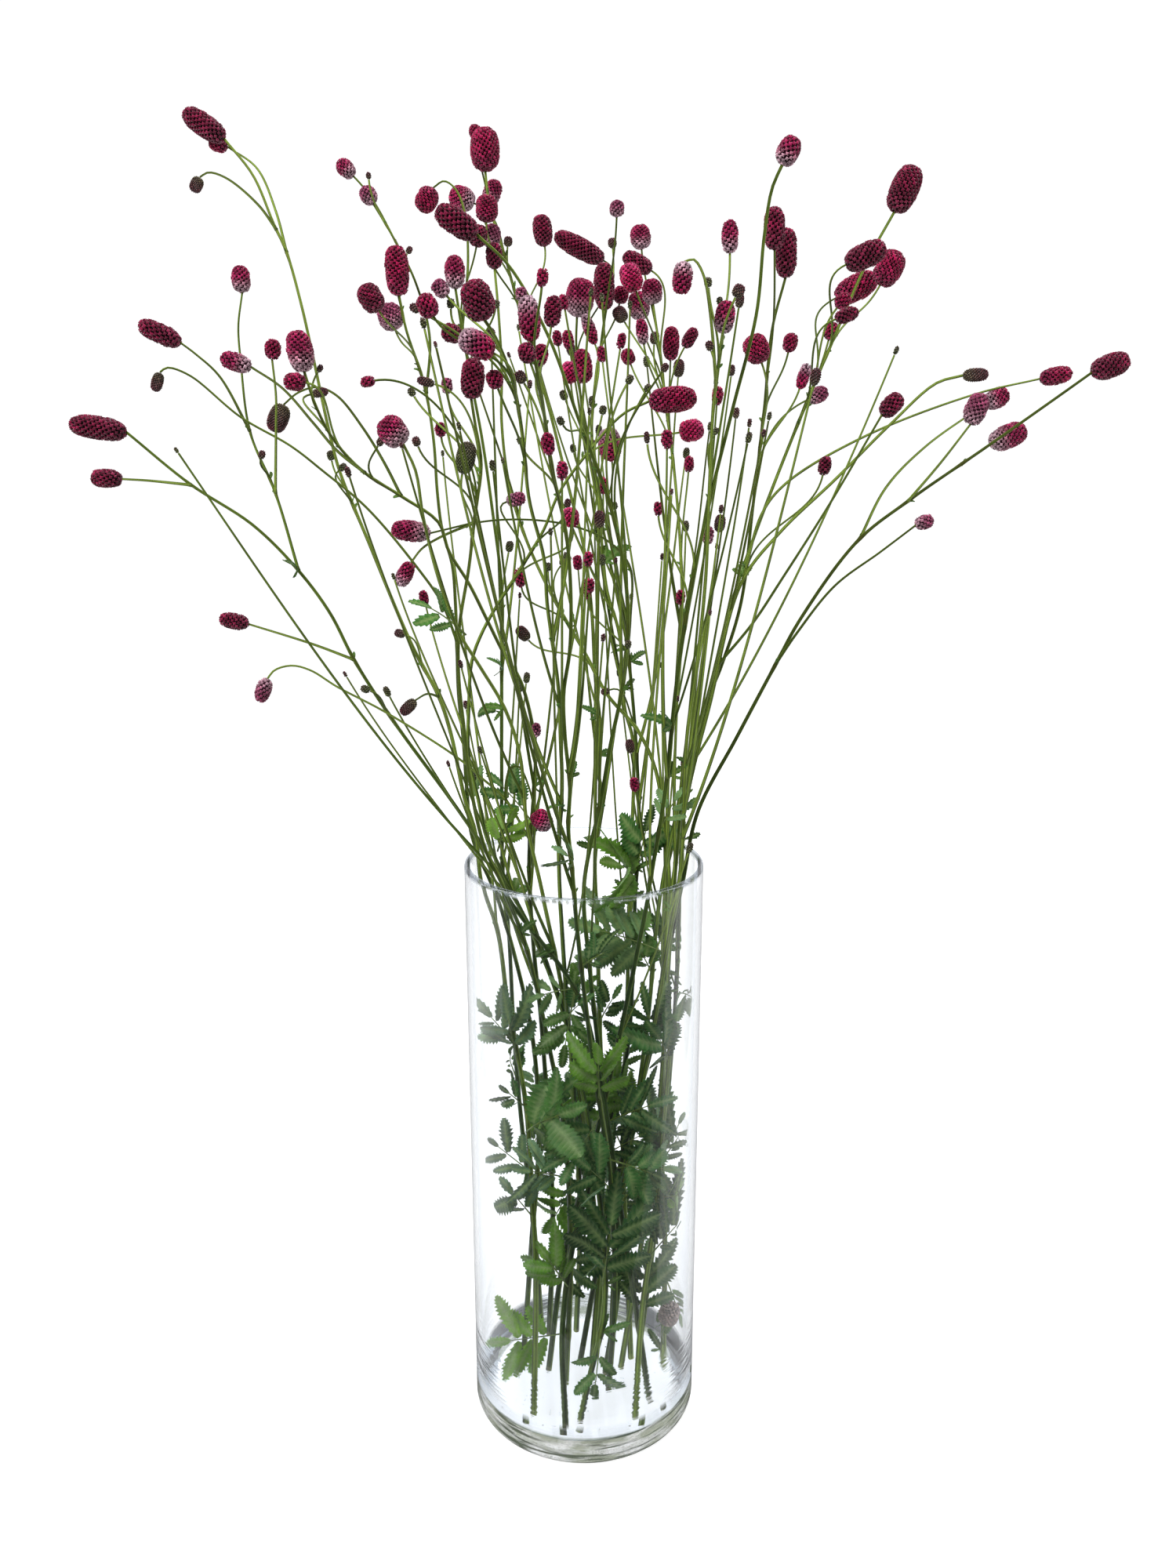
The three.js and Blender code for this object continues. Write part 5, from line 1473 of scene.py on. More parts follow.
@dataclass(frozen=True)
class StalkMaker:
    """Draws ribbed round stalks that swell at each knot, with a pen and random draws of its own."""

    pen: MeshPen
    chance: Random
    # The colours of the foot, the part above the vase, the top, the painted highlight on a lit ridge, the cut
    # and the flush
    foot: tuple = (70, 96, 52)
    middle: tuple = (54, 94, 38)
    top: tuple = (108, 134, 42)
    ridge: tuple = (168, 196, 84)
    cut: tuple = (150, 146, 110)
    red: tuple = (104, 66, 48)
    # A groove's radius, its painted shade and its share of the painted highlight colour, each with what a
    # ridge adds
    groove: tuple = (0.93, 0.07)
    shade: tuple = (0.3, 0.4)
    sun: tuple = (0.2, 0.5)
    # The distance between rings and the corners, on a main stalk and on the others, and the fewest runs
    runs: tuple = (5.0, 2.6)
    sides: tuple = (10, 8)
    fewest: int = 6
    # How far a knot reaches, how much it swells the stalk, and how much wider a side limb's root is
    knot_reach: float = 3.2
    knot_swell: float = 0.28
    flare: float = 1.35
    # Where the colour starts to turn and over which height, how fast it turns to the middle's and to
    # the top's, how much yellower side limbs are, the most flush, and the darkest and lightest stalk
    heights: tuple = (60, 500)
    turns: tuple = (2.2, 1.6)
    yellow: float = 0.4
    warmth: float = 0.22
    light: tuple = (0.7, 1.2)

    def tube(self, points: Array, radii: Array, sides: int, tints: Array, sunny: float = 0.0) -> None:
        """Draws a closed tube, with painted shade in its grooves and a painted highlight on the ridges of its
        lit side.

        Args:
            points: Its middle line.
            radii: Its radius at each point.
            sides: Its corners, every second of which is a ridge.
            tints: A colour for each ring.
            sunny: The turn of the side that gets the painted highlight.
        """
        heading = unit(np.gradient(points, axis=0))
        normal = np.zeros_like(points)
        start = np.cross(heading[0], [0.0, 1.0, 0.0])
        normal[0] = unit(start if np.linalg.norm(start) > 0.1 else np.cross(heading[0], [1.0, 0.0, 0.0]))
        for i in range(1, len(points)):
            normal[i] = unit(normal[i - 1] - heading[i] * float(normal[i - 1] @ heading[i]))
        across = np.cross(heading, normal)
        turn = np.arange(sides) * FULL_TURN / sides
        ridge = np.where(np.arange(sides) % 2 == 0, 1.0, 0.0)
        spread = radii[:, None] * (self.groove[0] + self.groove[1] * ridge)[None, :]
        rings = (points[:, None, :] + spread[..., None] * (
            np.cos(turn)[None, :, None] * normal[:, None, :]
            + np.sin(turn)[None, :, None] * across[:, None, :]))
        # Painted light: grooves are painted darker, and the ridges on the lit side are painted toward the
        # highlight colour.
        lit = (self.sun[0] + self.sun[1] * ridge) * (0.5 + 0.5 * np.cos(turn - sunny))
        shades = tints[:, None, :] * (self.shade[0] + self.shade[1] * ridge)[None, :, None]
        shades = blended(shades, linear(*self.ridge), lit[None, :, None])
        body = np.concatenate([rings.reshape(-1, 3), points[[0, -1]]])
        colours = np.concatenate([shades.reshape(-1, 3), tints[[0, -1]]])
        self.pen.add(body, ring_faces(len(points), sides), colours)

    def limb(self, limb: Limb, is_main: bool) -> None:
        """Draws a stalk, branch or twig with its knots.

        Args:
            limb: The limb.
            is_main: Whether it stands on the vase's floor.
        """
        kind = 0 if is_main else 1
        curve = self.rooted(limb)
        steps = max(self.fewest, round(curve.length() / self.runs[kind]))
        points = curve.spaced(steps)
        shares = np.linspace(0.0, 1.0, steps + 1)
        radii = blended(limb.root_radius, limb.tip_radius, shares ** TAPER_POWER)
        swell = np.zeros(steps + 1)
        for knot in limb.knots:
            off = np.linalg.norm(points - knot, axis=1)
            swell = np.maximum(swell, np.exp(-(off / self.knot_reach) ** 2))
        radii = radii * (1 + self.knot_swell * swell)
        if not is_main:
            radii[0] *= self.flare
        tints = self.tints(points, shares, swell, is_main)
        if is_main:
            tints[0] = linear(*self.cut)
        self.tube(points, radii, self.sides[kind], tints, self.chance.uniform(0, FULL_TURN))

    def rooted(self, limb: Limb) -> Curve:
        """Moves a limb's root from the coarse tube onto its parent's curve.

        Args:
            limb: The limb.

        Returns:
            Its curve from there.
        """
        if limb.parent is None:
            return limb.curve
        root = limb.course[0]
        line = limb.parent.curve.spaced(FINE_STEPS)
        shift = line[int(np.argmin(np.linalg.norm(line - root, axis=1)))] - root
        if isinstance(limb.curve, TwigCurve):
            start, rise, meet, end = limb.curve.handles
            return TwigCurve(start + shift, rise + shift, meet, end)
        rows = limb.curve.points[1:-1].copy()
        rows[0] += shift
        return StalkCurve(rows)

    def tints(self, points: Array, shares: Array, swell: Array, is_main: bool) -> Array:
        """Colours the rings, greyer at the foot and yellower near the heads.

        Args:
            points: The rings' middles.
            shares: Their places from 0 at the root to 1.
            swell: How much each is swollen by a knot.
            is_main: Whether the limb stands on the vase's floor.

        Returns:
            A colour for each ring.
        """
        height = np.clip((points[:, 2] - self.heights[0]) / self.heights[1], 0, 1)[:, None]
        high = linear(*self.top)
        tint = blended(linear(*self.foot), linear(*self.middle), np.clip(height * self.turns[0], 0, 1))
        tint = blended(tint, high, np.clip((height - 0.5) * self.turns[1], 0, 1))
        if not is_main:
            tint = blended(tint, high, self.yellow)
        warm = self.chance.uniform(0.0, self.warmth)
        reddish = np.clip(warm * (0.4 + 0.6 * shares) + 0.3 * swell, 0, 0.7)[:, None]
        return blended(tint, linear(*self.red), reddish) * self.chance.uniform(*self.light)


@dataclass(frozen=True)
class FloretShape:
    """One floret of a head, as rings of radius and height around its own axis.

    Attributes:
        lobes: How many lobes it has.
        rings: For each ring, the radius at a lobe's tip, the radius at a notch, the height at a tip, the
            height at a notch and the painted light there, from 0 for the painted shade in a groove to 1.
        crown: The height and painted light of its middle.
        notch_light: The painted light in a notch, beside a tip's.
    """

    lobes: int
    rings: tuple
    crown: tuple
    notch_light: float = 0.55

    def template(self) -> tuple[Array, Array, Array, Array, list]:
        """Lays its vertices out.

        Returns:
            Their radii, angles, heights and painted light, and the faces.
        """
        sides = self.lobes * 2
        rows = []
        for tip_r, notch_r, tip_h, notch_h, shine in self.rings:
            for k in range(sides):
                angle = k * FULL_TURN / sides
                rows.append((tip_r, angle, tip_h, shine) if k % 2 == 0
                            else (notch_r, angle, notch_h, shine * self.notch_light))
        rows += [(0.0, 0.0, self.rings[0][2], 0.0), (0.0, 0.0, *self.crown)]
        return *np.array(rows).T, ring_faces(len(self.rings), sides)


OPEN_FLORET = FloretShape(4, ((0.6, 0.5, -0.9, -0.9, 0.0), (1.0, 0.66, 0.75, 0.45, 1.0)), (0.72, 0.6))
BUD_SCALE = FloretShape(2, ((0.95, 0.85, -0.25, -0.25, 0.2),), (0.7, 1.0))


@dataclass(frozen=True)
class HeadTints:
    """The colours of a head: the painted shade between its florets, and theirs at the foot, middle and tip.
    """

    groove: tuple
    foot: tuple
    middle: tuple
    tip: tuple


# The first colour of each is the painted shade in the grooves between the florets.
TINTS = {
    Tone.CRIMSON: HeadTints((36, 3, 16), (170, 42, 90), (180, 24, 82), (174, 24, 80)),
    Tone.BRIGHT: HeadTints((84, 4, 34), (194, 26, 88), (216, 32, 102), (212, 60, 120)),
    Tone.BURGUNDY: HeadTints((26, 4, 13), (142, 46, 78), (136, 24, 64), (146, 28, 70)),
    Tone.FADED: HeadTints((56, 22, 38), (202, 156, 172), (180, 92, 126), (172, 68, 110)),
    Tone.FADED_FOOT: HeadTints((46, 6, 26), (216, 176, 190), (182, 44, 98), (174, 24, 84)),
    Tone.FADED_TIP: HeadTints((46, 6, 26), (190, 20, 86), (180, 52, 102), (210, 170, 186)),
    Tone.GREEN: HeadTints((44, 46, 24), (124, 138, 70), (118, 122, 70), (122, 100, 84)),
    Tone.BRONZE: HeadTints((44, 26, 24), (126, 116, 78), (128, 80, 76), (132, 54, 74)),
    Tone.DRIED: HeadTints((58, 44, 34), (172, 150, 136), (176, 144, 134), (196, 172, 162)),
}
CLOSED_TONES = (Tone.GREEN, Tone.BRONZE)

# The tones of all other heads: below each length on the sheet, the draws up to which a tone is taken
SIZE_TONES = (
    (17, ((0.55, Tone.GREEN), (1.0, Tone.BRONZE))),
    (25, ((0.3, Tone.BRONZE), (0.5, Tone.FADED), (1.0, Tone.CRIMSON))),
    (math.inf, ((0.45, Tone.CRIMSON), (0.75, Tone.BURGUNDY), (1.0, Tone.FADED_FOOT))),
)


@dataclass(frozen=True)
class Spindle:
    """The blunt body of a head: its middle, its axis, two ways across it and its profile."""

    middle: Array
    axis: Array
    aside: Array
    other: Array
    along: Array
    out: Array

    def spokes(self, turn: Array) -> Array:
        """The ways out from the axis at some turns."""
        return np.cos(turn)[:, None] * self.aside + np.sin(turn)[:, None] * self.other


@dataclass(frozen=True)
class HeadMaker:
    """Draws flower heads: a blunt spindle covered with lobed florets in a spiral."""

    pen: MeshPen
    chance: Random
    # The distance between florets on large and on the smallest open heads, and between bud scales
    floret_large: float = 2.4
    floret_small: float = 1.8
    scale_apart: float = 1.3
    # The turn from floret to floret, the area that one takes beside its distance, and the fewest
    golden: float = math.pi * (3 - math.sqrt(5))
    packing: float = 0.866
    fewest: int = 14
    # The smallest heads' length, and how much longer large ones are
    lengths: tuple = (5, 20)
    # How far a floret stands out and its radius beside the distance, and the spindle's least half width
    stand: float = 0.5
    lobe: float = 0.57
    least_body: float = 0.3
    # The smallest floret's size and height, the turns, and the darkest one's light, with the span of each
    sizes: tuple = (0.82, 0.32)
    rises: tuple = (0.6, 0.7)
    sway: float = 0.6
    paleness: tuple = (0.6, 0.95)
    # The profile's spots, those that the core has rings at, its corners and its radius beside them
    samples: int = 81
    core_rings: tuple = (6, 75, 8)
    core_sides: int = 12
    core_share: float = 0.97
    # The places along a head that its colours stand at
    stops: tuple = (-0.75, 0.0, 0.75)

    def tone(self, head: Head) -> Tone:
        """Tells how far a head has opened, from its place or else from its size.

        Args:
            head: The head.

        Returns:
            Its tone.
        """
        place = (head.plan.across, head.plan.down)
        if place in ODD_TONES:
            return ODD_TONES[place]
        draw = self.chance.random()
        tones = next(tones for length, tones in SIZE_TONES if head.plan.length < length)
        return next(tone for limit, tone in tones if draw < limit)

    def draw(self, head: Head) -> None:
        """Draws one head.

        Args:
            head: The head.
        """
        tone = self.tone(head)
        tints = TINTS[tone]
        long = float(np.linalg.norm(head.tip - head.base))
        axis = unit(head.tip - head.base)
        size = np.clip((long - self.lengths[0]) / self.lengths[1], 0, 1)
        is_open = tone not in CLOSED_TONES
        spacing = blended(self.floret_small, self.floret_large, size) if is_open else self.scale_apart
        stand = spacing * self.stand
        half_wide = max(head.wide / 2 - stand, head.wide * self.least_body)
        half_long = long / 2 - stand * 0.5
        aside = unit(np.cross(axis, [0.3, 0.9, 0.2]))
        rise = np.sin(np.linspace(-math.pi / 2, math.pi / 2, self.samples))
        out = half_wide * np.maximum(1 - np.abs(rise) ** BLUNT_POWER, 0) ** (1 / BLUNT_POWER)
        spindle = Spindle((head.base + head.tip) / 2, axis, aside, np.cross(axis, aside),
                          rise * half_long, out)
        self.core(spindle, tints)
        y, r, slope_y, slope_r = self.places(spindle, spacing)
        count = len(y)
        spoke = spindle.spokes(np.arange(count) * self.golden + self.chance.uniform(0, 6))
        centre = spindle.middle + y[:, None] * axis + r[:, None] * spoke
        normal = unit(slope_y[:, None] * spoke - slope_r[:, None] * axis)
        along = unit(slope_y[:, None] * axis + slope_r[:, None] * spoke)
        sideways = np.cross(normal, along)
        shape = OPEN_FLORET if is_open else BUD_SCALE
        radius, angle, height, light, faces = shape.template()
        draws = np.array([[self.chance.random() for _ in range(4)] for _ in range(count)])
        scale = spacing * self.lobe * (self.sizes[0] + self.sizes[1] * draws[:, 0])
        lift = stand * (self.rises[0] + self.rises[1] * draws[:, 1])
        twist = angle[None, :] + self.sway * (draws[:, 2, None] - 0.5) + math.pi / 4
        reach = scale[:, None] * radius[None, :]
        points = (centre[:, None, :]
                  + (reach * np.cos(twist))[..., None] * along[:, None, :]
                  + (reach * np.sin(twist))[..., None] * sideways[:, None, :]
                  + (lift[:, None] * height[None, :])[..., None] * normal[:, None, :])
        stops = np.array([linear(*tints.foot), linear(*tints.middle), linear(*tints.tip)])
        lit = np.stack([np.interp(y / half_long, self.stops, stops[:, k]) for k in range(3)], axis=1)
        pale = self.paleness[0] + self.paleness[1] * draws[:, 3] ** 2
        # Painted shade: each floret's colour darkens from its lobe tips to the painted groove shade in its
        # hollows.
        colours = blended(linear(*tints.groove), lit[:, None, :] * pale[:, None, None],
                          light[None, :, None])
        offsets = np.arange(count) * len(radius)
        stacked = [(rows[None, :, :] + offsets[:, None, None]).reshape(-1, rows.shape[1]) for rows in faces]
        self.pen.add(points.reshape(-1, 3), stacked, colours.reshape(-1, 3))

    def places(self, spindle: Spindle, spacing: float) -> tuple:
        """Shares the spindle's skin out among the florets.

        Args:
            spindle: The spindle.
            spacing: The distance between florets.

        Returns:
            For the florets, how far along the axis and out from it they are, and the slope there.
        """
        steps = np.arange(self.samples)
        rise = np.diff(spindle.along)
        widen = np.diff(spindle.out)
        runs = np.hypot(rise, widen)
        areas = runs * (spindle.out[:-1] + spindle.out[1:]) * math.pi
        grown = np.concatenate([[0.0], np.cumsum(areas)])
        count = max(self.fewest, int(grown[-1] / (self.packing * spacing ** 2)))
        place = np.interp((np.arange(count) + 0.5) / count * grown[-1], grown, steps)
        halves = steps[:-1] + 0.5
        return (np.interp(place, steps, spindle.along), np.interp(place, steps, spindle.out),
                np.interp(place, halves, rise / runs), np.interp(place, halves, widen / runs))

    def core(self, spindle: Spindle, tints: HeadTints) -> None:
        """Draws the spindle under the florets, dark with the painted groove shade.

        Args:
            spindle: The spindle.
            tints: The head's colours.
        """
        pick = np.arange(*self.core_rings)
        spoke = spindle.spokes(np.arange(self.core_sides) * FULL_TURN / self.core_sides)
        rings = (spindle.middle + spindle.along[pick, None, None] * spindle.axis
                 + spindle.out[pick, None, None] * self.core_share * spoke[None, :, :])
        ends = spindle.middle + spindle.along[[0, -1], None] * spindle.axis
        body = np.concatenate([rings.reshape(-1, 3), ends])
        self.pen.add(body, ring_faces(len(pick), self.core_sides), linear(*tints.groove))


@dataclass(frozen=True)
class LeafMaker:
    """Draws pinnate leaves of toothed leaflets, folded along the rib and puckered between veins."""

    pen: MeshPen
    chance: Random
    # The colours of the two faces, of a young leaflet and of the ribs
    upper: tuple = (60, 108, 48)
    lower: tuple = (110, 144, 104)
    young: tuple = (140, 190, 44)
    rib: tuple = (140, 162, 100)
    # A blade's thickness, and the share of leaves that show their undersides
    thick: float = 0.34
    turned: float = 0.35
    # Where the first and last leaflets of a pinnate and of a plain leaf stand along it, and the last
    # one's length and half width, and a side leaflet's length with its growth from pair to pair
    pinnate: tuple = (0.22, 0.7, 1.04 - 0.7, 0.2)
    plain: tuple = (0.08, 0.08, 0.94, 0.17)
    growth: tuple = (0.42, 0.06)
    # The common rib's radius at its foot and end, its rings and its corners
    rib_radii: tuple = (0.62, 0.32)
    rib_rings: int = 10
    rib_sides: int = 6
    # Side leaflets: degrees above the level, half widths beside the length, and lengths
    leans: tuple = (26, 52)
    widths: tuple = (0.14, 0.23)
    side_lengths: tuple = (9.0, 38.0)
    # The length that each kind of leaflet passes, its teeth and their depth
    kinds: tuple = ((26, 11, 0.21), (14, 9, 0.21), (0, 5, 0.17))
    # The spots across a blade, how its edge wavers, how far its teeth point ahead and it runs ahead
    columns: tuple = (-1.0, -0.52, 0.0, 0.52, 1.0)
    wobble: tuple = (0.92, 1.08)
    slant: float = 0.85
    vein: float = 0.12
    # How far a blade folds up, bends back, tilts and twists, and stands up at veins and down between
    folds: tuple = (0.05, 0.8)
    droops: tuple = (-0.55, 0.4)
    rolls: tuple = (-1.0, 1.0)
    twists: tuple = (-1.2, 1.2)
    puckers: tuple = (0.3, -0.25)
    # A leaflet's own stalk, and the shares of its length that are tried inside the glass
    stalk: float = 0.9
    fits: tuple = (1.0, 0.85, 0.7, 0.55, 0.4)

    def draw(self, leaf: Leaf) -> None:
        """Draws one leaf with its rib and leaflets.

        Args:
            leaf: The leaf.
        """
        axes = leaf.frame
        length = axes.length
        fresh = max(self.chance.random() ** 5, FRESH_LEAVES.get(leaf.tip, 0.0))
        underside = self.chance.random() < self.turned
        pairs = leaf.pairs + 1 if leaf.pairs else 0
        first, last, reach, wide = self.pinnate if pairs else self.plain
        rib = axes.spots(np.zeros(self.rib_rings), np.linspace(0, length * (last + 0.04), self.rib_rings))
        radii = np.linspace(*self.rib_radii, self.rib_rings)
        tints = np.tile(linear(*self.rib), (self.rib_rings, 1))
        StalkMaker(self.pen, self.chance).tube(rib, radii, self.rib_sides, tints)
        self.leaflet(axes, (0.0, length * last), 0.0, length * reach, wide, fresh, underside)
        step = length * (last - first) / max(pairs, 1)
        for k in range(pairs):
            foot = length * first + step * (k + 0.35)
            own = float(np.clip(length * (self.growth[0] + self.growth[1] * k), *self.side_lengths))
            for side in (-1, 1):
                turn = math.radians(90 - self.chance.uniform(*self.leans)) * side
                wide = min(self.chance.uniform(*self.widths), 0.58 * step / own)
                self.leaflet(axes, (side * 0.5, foot), turn, own * self.chance.uniform(0.85, 1.1),
                             wide, fresh, underside)

    def leaflet(self, axes: LeafFrame, foot: tuple, turn: float, length: float,
                wide: float, fresh: float, underside: bool) -> None:
        """Draws one toothed leaflet.

        Args:
            axes: The whole leaf's axes.
            foot: Where it joins the rib, across and along.
            turn: Its angle from the rib, to the right.
            length: Its length.
            wide: Its half width as a share of the length.
            fresh: How young and yellow it is, from 0 to 1.
            underside: Whether its underside is what faces the eye.
        """
        length *= self.fitting(axes, foot, turn, length)
        teeth, depth = next(kind[1:] for kind in self.kinds if length > kind[0])
        rows = teeth * 2
        share = np.linspace(0.0, 1.0, rows + 1)
        is_tooth = np.arange(rows + 1) % 2 == 1
        bulge = np.sin(np.pi * (0.05 + 0.95 * share) ** 0.85) ** 0.65
        bulge[-1] = 0.0
        half = length * wide * np.maximum(bulge, 0.0) * np.where(is_tooth, 1 + depth, 1 - depth)
        half = half * np.array([self.chance.uniform(*self.wobble) for _ in share])
        columns = np.array(self.columns)
        over_share = np.abs(columns)
        is_edge = over_share == 1.0
        is_rib = over_share == 0.0
        slant = np.where(is_tooth, self.slant, 0.0)[:, None] * is_edge[None, :] / rows
        vein = self.vein * over_share[None, :] * (share * (1 - share) * 4)[:, None]
        along = np.clip(share[:, None] + slant + vein, 0, 1.0) * length
        over = half[:, None] * columns[None, :]
        fold = self.chance.uniform(*self.folds)
        droop = self.chance.uniform(*self.droops)
        roll = self.chance.uniform(*self.rolls)
        twist = self.chance.uniform(*self.twists)
        pucker = np.where(is_tooth, *self.puckers)[:, None]
        lift = (fold * np.abs(over) + (roll + twist * along / length) * over
                + droop * along * (along / length) + pucker * ~(is_edge | is_rib)[None, :])
        x = foot[0] + (along + self.stalk) * math.sin(turn) + over * math.cos(turn)
        y = foot[1] + (along + self.stalk) * math.cos(turn) - over * math.sin(turn)
        blade = axes.spots(x.ravel(), y.ravel(), lift.ravel())
        ribs = np.where(is_tooth, 0.45, 0.0)[:, None] * ~is_edge[None, :]
        ribs = np.maximum(ribs, is_rib[None, :] * 1.5)
        # A random painted light and shade for each leaflet, from dark to light green.
        shade = 0.4 + 0.9 * self.chance.random()
        faces = (self.lower, self.upper) if underside else (self.upper, self.lower)
        tints = [self.blade_tint(face, fresh, ribs, shade) for face in faces]
        self.shell(blade, axes.face * self.thick / 2, (rows + 1, len(columns)), tints)

    def fitting(self, axes: LeafFrame, foot: tuple, turn: float, length: float) -> float:
        """Finds how much of a leaflet's length there is room for inside the glass.

        Args:
            axes: The whole leaf's axes.
            foot: Where the leaflet joins the rib.
            turn: Its angle from the rib.
            length: Its full length.

        Returns:
            The share.
        """
        way = axes.side * math.sin(turn) + axes.rib * math.cos(turn)
        start = axes.foot + axes.side * foot[0] + axes.rib * foot[1]
        for share in self.fits[:-1]:
            end = start + way * length * share
            if end[2] > VASE_HEIGHT or np.hypot(end[0], end[1]) < INNER_ROOM - LEAF_INSET:
                return share
        return self.fits[-1]

    def blade_tint(self, face: tuple, fresh: float, ribs: Array, shade: float) -> Array:
        """Colours one face of a blade.

        Args:
            face: The face's colour.
            fresh: How young and yellow it is.
            ribs: How much of each spot is rib.
            shade: How light the leaflet is painted, a random painted light and shade.

        Returns:
            A colour for each spot.
        """
        base = blended(linear(*face) * shade, linear(*self.young), fresh * 0.8)
        rows = np.broadcast_to(base, (*ribs.shape, 3))
        return blended(rows, linear(*self.rib), 0.5 * ribs[..., None]).reshape(-1, 3)

    def shell(self, blade: Array, half: Array, grid: tuple[int, int], tints: list) -> None:
        """Draws a thin closed blade.

        Args:
            blade: The spots of its middle.
            half: The way from there to its upper face.
            grid: How many rows and columns the spots have.
            tints: The colours of the upper face and of the underside.
        """
        rows, columns = grid
        row, column = np.meshgrid(np.arange(rows - 1), np.arange(columns - 1), indexing="ij")
        start = (row * columns + column).ravel()
        upper = np.stack([start, start + 1, start + 1 + columns, start + columns], axis=1)
        lower = upper[:, ::-1] + rows * columns
        around = np.concatenate([
            np.arange(columns), np.arange(1, rows) * columns + columns - 1,
            (rows - 1) * columns + np.arange(columns - 2, -1, -1), np.arange(rows - 2, 0, -1) * columns])
        ahead = np.roll(around, -1)
        rim = np.stack([ahead, around, around + rows * columns, ahead + rows * columns], axis=1)
        self.pen.add(np.concatenate([blade + half, blade - half]), [upper, lower, rim], np.concatenate(tints))

    def at_knots(self, limb: Limb) -> None:
        """Draws a bract or a small leaf at each knot of a limb.

        Args:
            limb: The limb.
        """
        line = limb.curve.spaced(FINE_STEPS)
        for knot in limb.knots:
            i = int(np.argmin(np.linalg.norm(line - knot, axis=1)))
            along = heading_at(line, i)
            aside = unit(np.cross(along, [self.chance.uniform(-1, 1), self.chance.uniform(-1, 1), 0.1]))
            if knot[2] < SMALL_LEAF_TOP and self.chance.random() < SMALL_LEAF_CHANCE:
                self.small_leaf(line[i], unit(along * 0.7 + aside))
            else:
                root = line[i] + aside * 0.4
                length = self.chance.uniform(*BRACT_LENGTHS)
                axes = LeafFrame.between(root, root + unit(along * 0.9 + aside * 0.5) * length)
                self.leaflet(axes, (0.0, 0.0), 0.0, length, 0.2, 0.3, False)

    def small_leaf(self, root: Array, heading: Array) -> None:
        """Draws a small leaf at a knot above the vase: a toothed blade with two toothed lobes.

        Args:
            root: Where it grows.
            heading: The way that it grows.
        """
        length = self.chance.uniform(*SMALL_LEAF_LENGTHS)
        axes = LeafFrame.between(root, root + heading * length)
        fresh = self.chance.uniform(0.0, 0.4)
        self.leaflet(axes, (0.0, 0.0), 0.0, length, 0.13, fresh, False)
        for side in (-1, 1):
            turn = side * math.radians(self.chance.uniform(35, 60))
            own = length * self.chance.uniform(0.35, 0.6)
            self.leaflet(axes, (0.0, length * 0.1), turn, own, 0.15, fresh, False)


@dataclass
class NodeSketch:
    """The nodes of a material or of the world, with short calls to add and join them.

    Attributes:
        owner: The material or world.
        tree: Its node tree.
    """

    owner: Material | bpy.types.World
    tree: bpy.types.NodeTree = field(init=False)

    def __post_init__(self) -> None:
        """Turns the owner's nodes on."""
        self.owner.use_nodes = True
        self.tree = self.owner.node_tree

    def add(self, kind: str, *inputs: Socket | float | tuple, **options: object) -> bpy.types.Node:
        """Adds a node.

        Args:
            kind: The node's type.
            inputs: What its first inputs are joined to or hold, in order.
            options: Its options by name, and other inputs by their names.

        Returns:
            The node.
        """
        node = self.tree.nodes.new(kind)
        for key, value in options.items():
            if hasattr(node, key):
                setattr(node, key, value)
            else:
                node.inputs[key.title()].default_value = value
        for slot, value in zip(node.inputs, inputs):
            self.fill(slot, value)
        return node

    def fill(self, slot: Socket, value: Socket | float | tuple) -> None:
        """Joins an input to a socket, or gives it a value.

        Args:
            slot: The input.
            value: The socket to join, or the value.
        """
        if isinstance(value, Socket):
            self.tree.links.new(value, slot)
        else:
            slot.default_value = value

    def spread(self, value: Socket, given: tuple, made: tuple = (0.0, 1.0)) -> Socket:
        """A value spread from one range onto another."""
        return self.add("ShaderNodeMapRange", value, *given, *made).outputs["Result"]

    def times(self, first: Socket, second: Socket) -> Socket:
        """The product of two values."""
        return self.add("ShaderNodeMath", first, second, operation="MULTIPLY").outputs["Value"]

    def larger(self, first: Socket, second: Socket) -> Socket:
        """The larger of two values."""
        return self.add("ShaderNodeMath", first, second, operation="MAXIMUM").outputs["Value"]

    def mixed(self, share: Socket, first: Socket, second: Socket | float) -> Socket:
        """Mixes two numbers.

        Args:
            share: The share of the second, from 0 to 1.
            first: The first number.
            second: The second number.

        Returns:
            The mixed number.
        """
        node = self.add("ShaderNodeMix", share)
        self.fill(node.inputs[2], first)
        self.fill(node.inputs[3], second)
        return node.outputs[0]

    def part(self, vector: Socket, axis: str) -> Socket:
        """One of a vector's three numbers."""
        return self.add("ShaderNodeSeparateXYZ", vector).outputs[axis]


